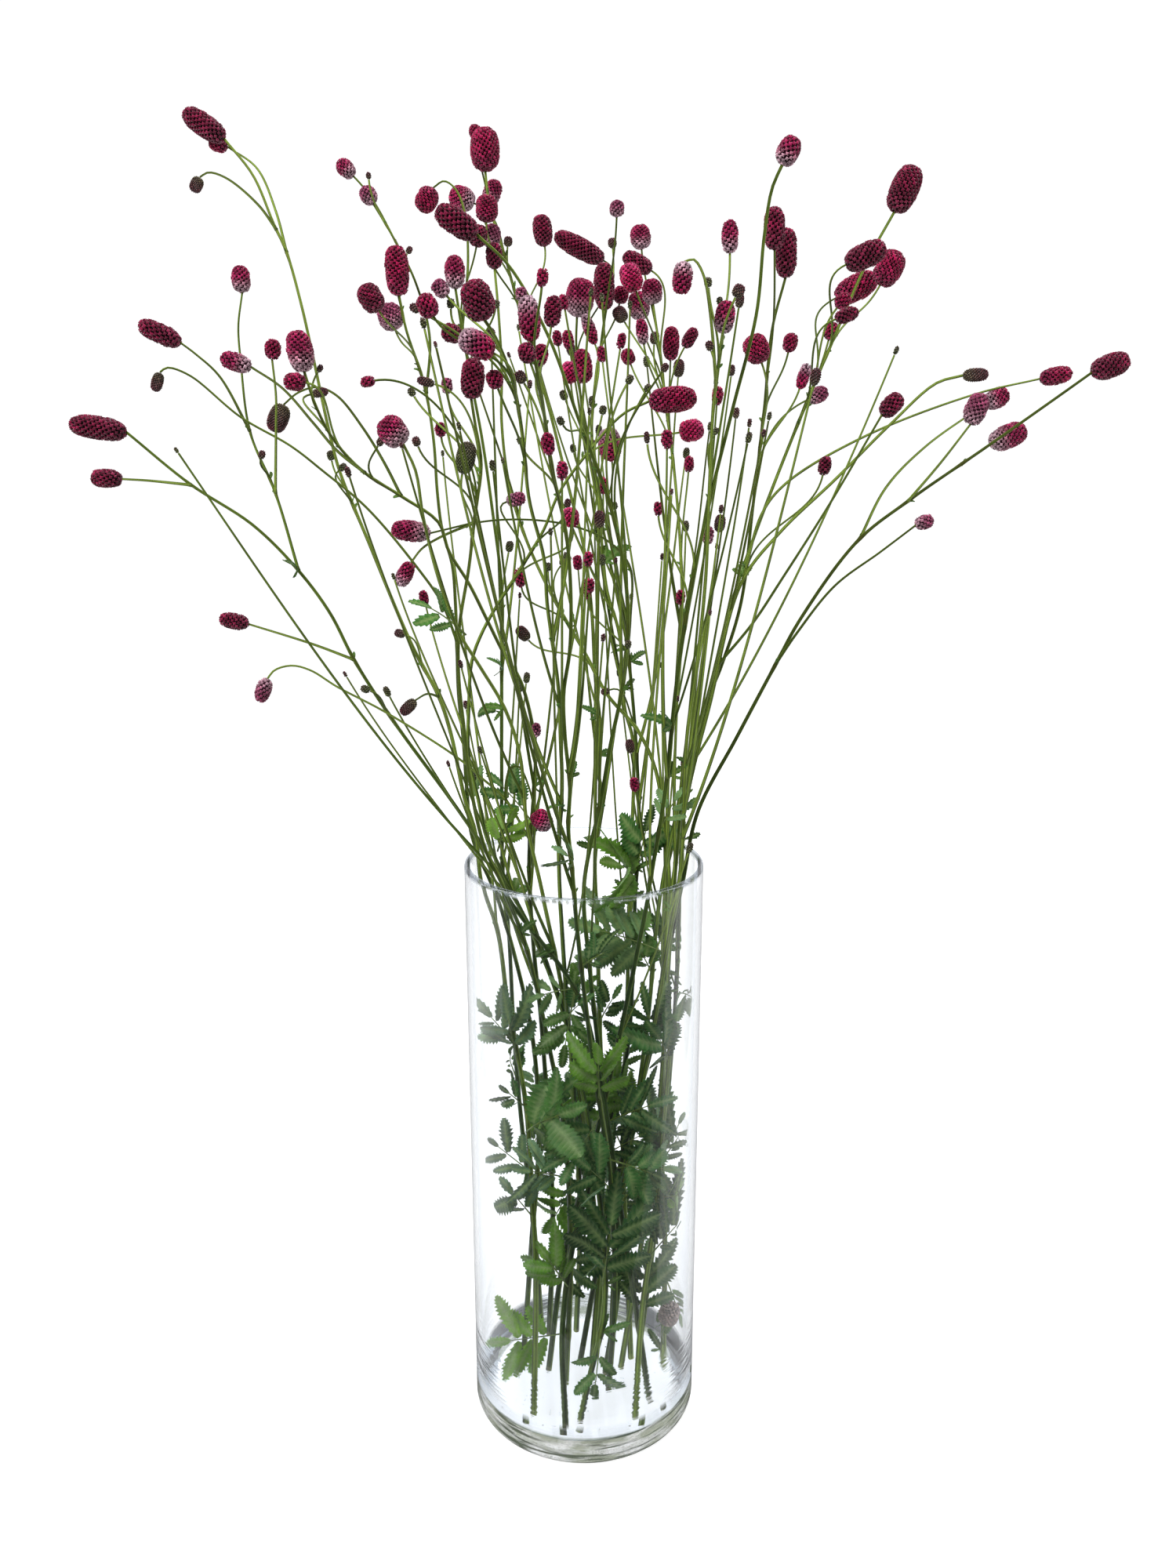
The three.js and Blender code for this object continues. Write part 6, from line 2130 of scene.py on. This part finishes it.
class MaterialSketch(NodeSketch):
    """A material's nodes round its surface shader."""

    def __init__(self, name: str) -> None:
        """Starts a material of a given name."""
        super().__init__(bpy.data.materials.new(name))
        self.surface = self.tree.nodes["Principled BSDF"]

    def position(self, stretch: tuple = (1.0, 1.0, 1.0)) -> Socket:
        """Finds the place on the object.

        Args:
            stretch: What the place is multiplied by along each axis.

        Returns:
            The stretched place.
        """
        place = self.add("ShaderNodeTexCoord").outputs["Object"]
        mapping = self.add("ShaderNodeMapping", place)
        mapping.inputs["Scale"].default_value = stretch
        return mapping.outputs["Vector"]

    def noise(self, scale: float, detail: float, place: Socket) -> Socket:
        """A noise pattern at a place."""
        return self.add("ShaderNodeTexNoise", place, scale=scale, detail=detail).outputs["Fac"]

    def varied(self, colour: Socket, pattern: Socket, low: float, high: float) -> Socket:
        """A colour made lighter and darker by a pattern.

        Args:
            colour: The colour.
            pattern: The pattern.
            low: The light where the pattern is low.
            high: The light where it is high.

        Returns:
            The colour.
        """
        scaled = self.add("ShaderNodeVectorMath", colour, operation="SCALE")
        self.fill(scaled.inputs["Scale"], self.spread(pattern, PATTERN_LIMITS, (low, high)))
        return scaled.outputs["Vector"]

    def blend(self, share: Socket, colour: Socket, tone: tuple) -> Socket:
        """Blends a colour towards a display colour.

        Args:
            share: How much of the display colour there is.
            colour: The colour.
            tone: The display colour.

        Returns:
            The colour.
        """
        node = self.add("ShaderNodeMix", share, data_type="RGBA")
        slots = [slot for slot in node.inputs if slot.type == "RGBA"]
        self.fill(slots[0], colour)
        self.fill(slots[1], opaque(tone))
        return next(slot for slot in node.outputs if slot.type == "RGBA")

    def bump(self, pattern: Socket, distance: float, strength: float) -> None:
        """Raises the surface by a pattern.

        Args:
            pattern: The pattern.
            distance: How deep it is, in metres.
            strength: How much of that shows.
        """
        node = self.add("ShaderNodeBump", distance=distance, strength=strength)
        self.fill(node.inputs["Height"], pattern)
        self.fill(self.surface.inputs["Normal"], node.outputs["Normal"])

    def finish(self, share: Socket | float, other: Socket) -> Material:
        """Mixes another shader into the surface.

        Args:
            share: The share of the other shader, from 0 to 1.
            other: The other shader.

        Returns:
            The finished material.
        """
        mix = self.add("ShaderNodeMixShader", share, self.surface.outputs["BSDF"], other)
        self.fill(self.tree.nodes["Material Output"].inputs["Surface"], mix.outputs["Shader"])
        return self.owner


@dataclass(frozen=True)
class PlantFinish:
    """A dull or satin plant surface whose colour comes from the piece's own tints.

    Attributes:
        name: The material's name.
        roughness: How dull it is.
        grain: The scale of its fine grain.
        relief: How deep the grain is, in metres.
        mottle: The scale of its larger patches.
        sheen: How velvety it is.
        glow: How much light comes through it.
        patch_light: The light of the darkest and of the lightest patch.
        grain_light: The same for the grain.
        glow_light: The same for the light that comes through.
    """

    name: str
    roughness: float
    grain: float
    relief: float
    mottle: float
    sheen: float = 0.0
    glow: float = 0.0
    patch_light: tuple = (0.8, 1.22)
    grain_light: tuple = (0.86, 1.16)
    glow_light: tuple = (1.6, 2.0)

    def material(self) -> Material:
        """Makes the material.

        Returns:
            The material.
        """
        sketch = MaterialSketch(self.name)
        tint = sketch.add("ShaderNodeVertexColor", layer_name="Tint").outputs["Color"]
        place = sketch.position()
        patches = sketch.noise(self.mottle, 3.0, place)
        grain = sketch.noise(self.grain, 4.0, place)
        colour = sketch.varied(tint, patches, *self.patch_light)
        colour = sketch.varied(colour, grain, *self.grain_light)
        surface = sketch.surface
        sketch.fill(surface.inputs["Base Color"], colour)
        surface.inputs["Roughness"].default_value = self.roughness
        surface.inputs["Sheen Weight"].default_value = self.sheen
        surface.inputs["Sheen Roughness"].default_value = 0.4
        surface.inputs["Specular IOR Level"].default_value = 0.35
        sketch.bump(grain, self.relief, 0.6)
        if not self.glow:
            return sketch.owner
        brighter = sketch.varied(colour, patches, *self.glow_light)
        through = sketch.add("ShaderNodeBsdfTranslucent", brighter)
        return sketch.finish(self.glow, through.outputs["BSDF"])


STALK_SKIN = PlantFinish("stalk_skin", 0.45, 2200.0, 0.00006, 60.0)
FLORET_VELVET = PlantFinish("floret_velvet", 0.62, 3200.0, 0.00008, 240.0, sheen=0.25)
LEAF_BLADE = PlantFinish("leaf_blade", 0.5, 1500.0, 0.00012, 130.0, glow=0.16)
DRY_CRUMBS = PlantFinish("dry_crumbs", 0.9, 4000.0, 0.00005, 900.0)


@dataclass(frozen=True)
class Mottle:
    """One pattern of the painted refraction round the vase's thick base.

    Attributes:
        scale: The scale of its noise.
        detail: The noise's detail.
        flatness: How much flatter than wide its patches are.
        limits: The noise's values at which it begins and is full.
        tone: Its colour.
    """

    scale: float
    detail: float
    flatness: float
    limits: tuple
    tone: tuple


@dataclass(frozen=True)
class GlassFinish:
    """Clear glass, with painted edge shade where it is seen edge on and painted refraction mottled round the
    thick base, in metres.
    """

    name: str = "vase_clear_glass"
    # Its colour seen straight on, its painted edge shade seen edge on, and between which angles that turns
    clear: tuple = (252, 253, 254)
    edge: tuple = (234, 239, 245)
    edge_limits: tuple = (0.45, 0.97)
    # The inner floor's colour, and the clouds, grains and streaks of painted refraction in the thick base
    floor: tuple = (246, 248, 251)
    mottles: tuple = (Mottle(48.0, 6.0, 3.0, (0.27, 0.57), (122, 130, 108)),
                      Mottle(900.0, 3.0, 2.0, (0.5, 0.72), (90, 98, 78)),
                      Mottle(34.0, 7.0, 12.0, (0.48, 0.6), (36, 44, 30)))
    # Between which heights the base, the inner floor, the ripples, the lip and the corner begin
    base_top: tuple = (0.0245, 0.0225)
    floor_top: tuple = (0.0158, 0.0156)
    ripple_top: tuple = (0.078, 0.05)
    lip: tuple = (0.3862, 0.3882)
    corner: tuple = (0.032, 0.027)
    # How deep the ripples are beside the wall's long waves
    ripple: float = 14.0
    # Between which distances from the axis the inner skin lies, and how thick it is taken to be
    inside: tuple = (0.0738, 0.073)
    skin: float = 0.0005
    # How much light passes straight through the lip and the corner, its colour, and between how many
    # bounces light that is caught in the wall is let out
    lip_clear: float = 0.6
    corner_clear: float = 0.95
    lip_tint: tuple = (240, 244, 248)
    trapped: tuple = (3.0, 4.0)

    def material(self) -> Material:
        """Makes the material.

        Returns:
            The material.
        """
        sketch = MaterialSketch(self.name)
        surface = sketch.surface
        surface.inputs["Transmission Weight"].default_value = 1.0
        surface.inputs["Roughness"].default_value = 0.0
        surface.inputs["IOR"].default_value = 1.5
        # Painted edge shade: the glass's colour turns greyer where it is seen edge on.
        facing = sketch.add("ShaderNodeLayerWeight", 0.5).outputs["Facing"]
        ramp = sketch.add("ShaderNodeValToRGB", facing)
        for stop, spot, tone in zip(ramp.color_ramp.elements, self.edge_limits, (self.clear, self.edge)):
            stop.position = spot
            stop.color = opaque(tone)
        heel = self.heel_share(sketch)
        colour = sketch.blend(self.past_height(sketch, self.floor_top), ramp.outputs["Color"], self.floor)
        # Painted refraction: grey-green clouds, grains and dark streaks stand in for what the thick base
        # bends into view.
        for mottle in self.mottles:
            pattern = sketch.noise(mottle.scale, mottle.detail, sketch.position((1.0, 1.0, mottle.flatness)))
            share = sketch.times(heel, sketch.spread(pattern, mottle.limits))
            colour = sketch.blend(share, colour, mottle.tone)
        sketch.fill(surface.inputs["Base Color"], colour)
        waves = sketch.noise(7.0, 1.0, sketch.position((1.0, 1.0, 0.4)))
        rings = sketch.noise(24.0, 3.0, sketch.position((0.25, 0.25, 12.0)))
        ripples = sketch.times(rings, self.past_height(sketch, self.ripple_top))
        height = sketch.add("ShaderNodeMath", ripples, self.ripple, waves, operation="MULTIPLY_ADD")
        sketch.bump(height.outputs["Value"], 0.0002, 0.1)
        straight = sketch.add("ShaderNodeBsdfTransparent", opaque(self.lip_tint))
        return sketch.finish(self.clear_share(sketch), straight.outputs["BSDF"])

    def past_height(self, sketch: MaterialSketch, limits: tuple) -> Socket:
        """How far a spot's height has come from one to another, from 0 to 1."""
        return sketch.spread(sketch.part(sketch.position(), "Z"), limits)

    def past_distance(self, sketch: MaterialSketch, limits: tuple) -> Socket:
        """How far a spot's distance from the axis has come from one to another, from 0 to 1."""
        flat = sketch.add("ShaderNodeVectorMath", sketch.position((1.0, 1.0, 0.0)), operation="LENGTH")
        return sketch.spread(flat.outputs["Value"], limits)

    def clear_share(self, sketch: MaterialSketch) -> Socket:
        """Finds how much light passes straight on: at the lip, the inner corner and where it is trapped.

        Args:
            sketch: The material's nodes.

        Returns:
            The share.
        """
        lip = sketch.spread(self.past_height(sketch, self.lip), (0.0, 1.0), (0.0, self.lip_clear))
        corner = sketch.times(self.past_height(sketch, self.corner), self.past_distance(sketch, self.inside))
        corner = sketch.times(corner, self.past_height(sketch, self.floor_top[::-1]))
        corner = sketch.spread(corner, (0.0, 1.0), (0.0, self.corner_clear))
        depth = sketch.add("ShaderNodeLightPath").outputs["Ray Depth"]
        return sketch.larger(sketch.larger(lip, corner), sketch.spread(depth, self.trapped))

    def heel_share(self, sketch: MaterialSketch) -> Socket:
        """Finds how much of a spot belongs to the outside of the thick base.

        Args:
            sketch: The material's nodes.

        Returns:
            The share.
        """
        outer = ((VASE_RADIUS - HEEL_RADIUS) * METRE, (VASE_RADIUS - HEEL_RADIUS * 0.6) * METRE)
        skin = self.past_distance(sketch, (self.inside[0], self.inside[0] + self.skin))
        face = sketch.larger(skin, self.past_height(sketch, self.floor_top))
        share = sketch.times(self.past_height(sketch, self.base_top), self.past_distance(sketch, outer))
        return sketch.times(share, face)


@dataclass(frozen=True)
class Vase:
    """The clear glass cylinder with its thick base, and the crumbs on its floor."""

    # The faces round the shell, the rings up each side, and the degrees between rings at the bends
    sides: int = 128
    rows: int = 20
    bend: float = 7.5
    lip_bend: float = 18.0
    # The crumbs: how many, how far out, their sizes, shape, seed and colour
    crumbs: int = 46
    reach: float = 56
    sizes: tuple = (0.3, 0.85)
    flatness: tuple = (1.0, 0.7, 0.35)
    seed: int = 77
    tone: tuple = (88, 84, 66)

    def profile(self) -> Array:
        """Draws the turned outline from the middle of the underside to that of the inner floor.

        Returns:
            Its spots, as radius and height.
        """
        lip = WALL / 2
        inner = VASE_RADIUS - WALL
        points = [(0.0, 0.0), (VASE_RADIUS - HEEL_RADIUS, 0.0)]
        for turn in np.radians(np.arange(self.bend, 90.1, self.bend)):
            points.append((VASE_RADIUS - HEEL_RADIUS * (1 - math.sin(turn)),
                           HEEL_RADIUS * (1 - math.cos(turn))))
        points.append((VASE_RADIUS, HEEL_RADIUS + 0.4))
        points += [(VASE_RADIUS, z) for z in np.linspace(HEEL_RADIUS + 4, VASE_HEIGHT - 6, self.rows)]
        points.append((VASE_RADIUS, VASE_HEIGHT - lip - 0.3))
        for turn in np.radians(np.arange(0, 180.1, self.lip_bend)):
            points.append((VASE_RADIUS - lip + lip * math.cos(turn),
                           VASE_HEIGHT - lip + lip * math.sin(turn)))
        points.append((inner, VASE_HEIGHT - lip - 0.3))
        low = BASE_THICKNESS + INNER_CORNER
        points += [(inner, z) for z in np.linspace(VASE_HEIGHT - 6, low + 4, self.rows)]
        points.append((inner, low + 0.4))
        for turn in np.radians(np.arange(0, 90.1, self.bend)):
            points.append((inner - INNER_CORNER * (1 - math.cos(turn)),
                           BASE_THICKNESS + INNER_CORNER * (1 - math.sin(turn))))
        points.append((0.0, BASE_THICKNESS))
        return np.array(points)

    def build(self) -> list:
        """Makes the glass and the crumbs.

        Returns:
            The two pieces.
        """
        profile = self.profile()
        turn = np.arange(self.sides) * FULL_TURN / self.sides
        body = profile[1:-1]
        rings = np.stack([body[:, 0, None] * np.cos(turn), body[:, 0, None] * np.sin(turn),
                          np.broadcast_to(body[:, 1, None], (len(body), self.sides))], axis=-1)
        ends = np.array([[0.0, 0.0, profile[0, 1]], [0.0, 0.0, profile[-1, 1]]])
        pen = MeshPen()
        pen.add(np.concatenate([rings.reshape(-1, 3), ends]), ring_faces(len(body), self.sides), np.ones(3))
        glass = pen.piece("vase_glass", GlassFinish().material(), "clear_glass", "vase")
        return [glass, self.add_crumbs()]

    def add_crumbs(self) -> bpy.types.Object:
        """Makes the crumbs of plant that lie on the inner floor.

        Returns:
            The piece.
        """
        chance = Random(self.seed)
        pen = MeshPen()
        corners = np.array([[1, 0, 0], [0, 1, 0], [-1, 0, 0], [0, -1, 0], [0, 0, 1], [0, 0, -1]], float)
        faces = np.array([[0, 1, 4], [1, 2, 4], [2, 3, 4], [3, 0, 4],
                          [1, 0, 5], [2, 1, 5], [3, 2, 5], [0, 3, 5]])
        for _ in range(self.crumbs):
            reach = self.reach * math.sqrt(chance.random())
            turn = chance.uniform(0, FULL_TURN)
            size = chance.uniform(*self.sizes)
            middle = np.array([reach * math.cos(turn), reach * math.sin(turn), BASE_THICKNESS + size * 0.4])
            spread = np.array([[chance.uniform(0.6, 1.4)] * 3 for _ in range(6)])
            points = middle + corners * spread * size * np.array(self.flatness)
            pen.add(points, [faces], linear(*self.tone) * chance.uniform(0.5, 1.3))
        return pen.piece("vase_floor_crumbs", DRY_CRUMBS.material(), "stem_green")


@dataclass
class Bouquet:
    """All the stems, with the pieces that dress them.

    Attributes:
        bloom_count: How many large heads are made so far.
        skin: The stalks' material.
        florets: The heads' material.
        blade: The leaves' material.
    """

    bloom_count: int = 0
    skin: Material = field(default_factory=STALK_SKIN.material)
    florets: Material = field(default_factory=FLORET_VELVET.material)
    blade: Material = field(default_factory=LEAF_BLADE.material)

    def build(self) -> list:
        """Lays the stems out and makes their pieces.

        Returns:
            Every piece.
        """
        return [piece for plant in Layout().build() for piece in self.dress(plant)]

    def dress(self, plant: Plant) -> list:
        """Makes the pieces of one stem.

        Args:
            plant: The stem.

        Returns:
            Its pieces.
        """
        name = plant.plan.name
        chance = Random(name)
        stalks = StalkMaker(MeshPen(), chance)
        for i, limb in enumerate([*plant.limbs, *plant.twigs]):
            stalks.limb(limb, i == 0)
        pieces = [stalks.pen.piece(f"{name}_stalks", self.skin, "stem_green", name)]
        small = MeshPen()
        for head in plant.heads:
            if head.plan.length >= OWN_BODY_LENGTH:
                pieces.append(self.bloom(head))
            else:
                HeadMaker(small, Random(f"{head.plan.across} {head.plan.down}")).draw(head)
        if small.count:
            pieces.append(small.piece(f"{name}_heads", self.florets, "bloom_burgundy", name))
        leaves = LeafMaker(MeshPen(), chance)
        for leaf in plant.leaves:
            leaves.draw(leaf)
        for limb in plant.limbs:
            leaves.at_knots(limb)
        if leaves.pen.count:
            pieces.append(leaves.pen.piece(f"{name}_leaves", self.blade, "stem_green", name))
        LOG.info("%s: %d pieces", name, len(pieces))
        return pieces

    def bloom(self, head: Head) -> bpy.types.Object:
        """Makes one large head, which stands for a node of its own.

        Args:
            head: The head.

        Returns:
            The piece.
        """
        self.bloom_count += 1
        node = f"bloom_{self.bloom_count:02d}"
        pen = MeshPen()
        HeadMaker(pen, Random(node)).draw(head)
        return pen.piece(f"{node}_head", self.florets, "bloom_burgundy", node)


@dataclass(frozen=True)
class Lamp:
    """A square soft lamp that isn't mirrored: its name, place, width in metres and watts."""

    name: str
    place: tuple
    size: float
    power: float

    def hang(self, target: tuple) -> None:
        """Hangs the lamp.

        Args:
            target: What it shines at.
        """
        data = bpy.data.lights.new(self.name, "AREA")
        data.size = self.size
        data.energy = self.power
        lamp = bpy.data.objects.new(self.name, data)
        lamp.location = self.place
        aim = Vector(target) - lamp.location
        lamp.rotation_euler = aim.to_track_quat("-Z", "Y").to_euler()
        lamp.visible_glossy = False
        bpy.context.scene.collection.objects.link(lamp)


@dataclass(frozen=True)
class Studio:
    """The pale floor, the soft light and the camera, in metres."""

    lamps: tuple = (Lamp("key_softbox", (-1.0, -1.4, 2.0), 1.0, 50.0),
                    Lamp("fill_softbox", (1.5, -0.9, 1.2), 1.2, 9.0),
                    Lamp("back_softbox", (0.3, 1.0, 2.7), 1.4, 34.0))
    target: tuple = (0.0, 0.0, 0.45)
    # The floor's edges, its colour, how brightly it shines, and its colour where it is dim
    floor: tuple = (-1.6, 1.6, -0.19, 2.2)
    floor_grey: tuple = (0.5, 0.5, 0.505, 1.0)
    floor_glow: float = 0.86
    floor_dim: tuple = (0.03, 0.03, 0.03, 1.0)
    # Where bent light sees the near floor dim and where no more, and how dim
    near_dim: tuple = (-0.085, -0.078)
    near_share: float = 0.6
    # Between which places the mirrored floor turns paler, and how dim it is at both
    mirror_reach: tuple = (0.0, 0.12)
    mirror_shares: tuple = (1.0, 0.62)
    # What the glass mirrors: the way to its bright side, where the dark ends, and both lights
    lean: tuple = (0.6, 1.0, 0.0)
    mirror_limits: tuple = (0.25, 0.85)
    mirror_light: tuple = (0.015, 0.95)
    # The same from front to back for light that was mirrored before
    through_limits: tuple = (-0.4, 0.25)
    through_light: tuple = (0.05, 1.05)
    # The light that is seen directly, and the light that falls on the object
    white: float = 1.05
    soft: float = 0.27
    # The width of the camera's sensor, in its own millimetres, and the nearest that it sees
    sensor: float = 36.0
    nearest: float = 0.01

    def build(self) -> None:
        """Sets the studio up."""
        self.add_floor()
        self.add_world()
        for lamp in self.lamps:
            lamp.hang(self.target)
        self.add_camera()
        bpy.context.scene.view_settings.view_transform = "Standard"

    def add_floor(self) -> None:
        """Makes the wide pale floor, which is dim where the glass mirrors it."""
        mesh = bpy.data.meshes.new("floor")
        left, right, near, far = self.floor
        mesh.from_pydata([(left, near, 0), (right, near, 0), (right, far, 0), (left, far, 0)], [],
                         [(0, 1, 2, 3)])
        floor = bpy.data.objects.new("floor", mesh)
        bpy.context.scene.collection.objects.link(floor)
        sketch = MaterialSketch("pale_floor")
        sketch.surface.inputs["Base Color"].default_value = self.floor_grey
        sketch.surface.inputs["Roughness"].default_value = 0.9
        sketch.surface.inputs["Emission Color"].default_value = WHITE
        sketch.surface.inputs["Emission Strength"].default_value = self.floor_glow
        ray = sketch.add("ShaderNodeLightPath").outputs
        back = sketch.part(sketch.position(), "Y")
        mirrored = sketch.times(ray["Is Glossy Ray"], ray["Is Reflection Ray"])
        mirrored = sketch.times(mirrored, sketch.spread(back, self.mirror_reach, self.mirror_shares))
        bounced = sketch.times(sketch.spread(back, self.near_dim, (self.near_share, 0.0)),
                               sketch.spread(ray["Glossy Depth"], (0.0, 1.0)))
        dim = sketch.add("ShaderNodeBsdfDiffuse", self.floor_dim).outputs["BSDF"]
        mesh.materials.append(sketch.finish(sketch.larger(mirrored, bounced), dim))

    def add_world(self) -> None:
        """Surrounds the object with soft white light.

        It is white where it is seen directly or through the glass. What the glass mirrors is dark
        in front, bright behind and bright on the right, as the room round the photograph was.
        """
        world = bpy.data.worlds.new("white_studio")
        bpy.context.scene.world = world
        sketch = NodeSketch(world)
        ray = sketch.add("ShaderNodeLightPath").outputs
        way = sketch.add("ShaderNodeTexCoord").outputs["Generated"]
        lean = sketch.add("ShaderNodeVectorMath", way, self.lean, operation="DOT_PRODUCT")
        mirrored = sketch.spread(lean.outputs["Value"], self.mirror_limits, self.mirror_light)
        inner = sketch.spread(sketch.part(way, "Y"), self.through_limits, self.through_light)
        straight = sketch.spread(ray["Glossy Depth"], (0.0, 1.0), (1.0, 0.0))
        through = sketch.mixed(straight, inner, self.white)
        kind = sketch.mixed(ray["Is Reflection Ray"], through, mirrored)
        soft = sketch.mixed(sketch.spread(ray["Diffuse Depth"], (0.0, 1.0)), kind, self.soft)
        back = sketch.tree.nodes["Background"]
        sketch.fill(back.inputs["Strength"], sketch.mixed(ray["Is Camera Ray"], soft, self.white))
        back.inputs["Color"].default_value = WHITE

    def add_camera(self) -> None:
        """Adds the camera at the eye that the sheet is seen from."""
        data = bpy.data.cameras.new("camera")
        data.sensor_width = self.sensor
        data.lens = SHEET.focal * self.sensor / SHEET.height
        data.clip_start = self.nearest
        camera = bpy.data.objects.new("camera", data)
        camera.location = [value * METRE for value in SHEET.eye]
        camera.rotation_euler = (math.pi / 2 - SHEET.pitch, 0.0, 0.0)
        bpy.context.scene.collection.objects.link(camera)
        bpy.context.scene.camera = camera


def plain(corners: Sequence) -> list:
    """A box's corners as plain lists of numbers."""
    return [[float(value) for value in corner] for corner in corners]


def main() -> None:
    """Builds the vase, the bouquet and the studio, and reports each piece."""
    logging.basicConfig(level=logging.INFO, format="%(message)s")
    pieces = [*Vase().build(), *Bouquet().build()]
    Studio().build()
    total = 0
    for piece in pieces:
        piece.data.calc_loop_triangles()
        count = len(piece.data.loop_triangles)
        total += count
        LOG.info("%s: %d triangles", piece.name, count)
    LOG.info("all pieces: %d triangles", total)


if __name__ == "__main__":
    main()
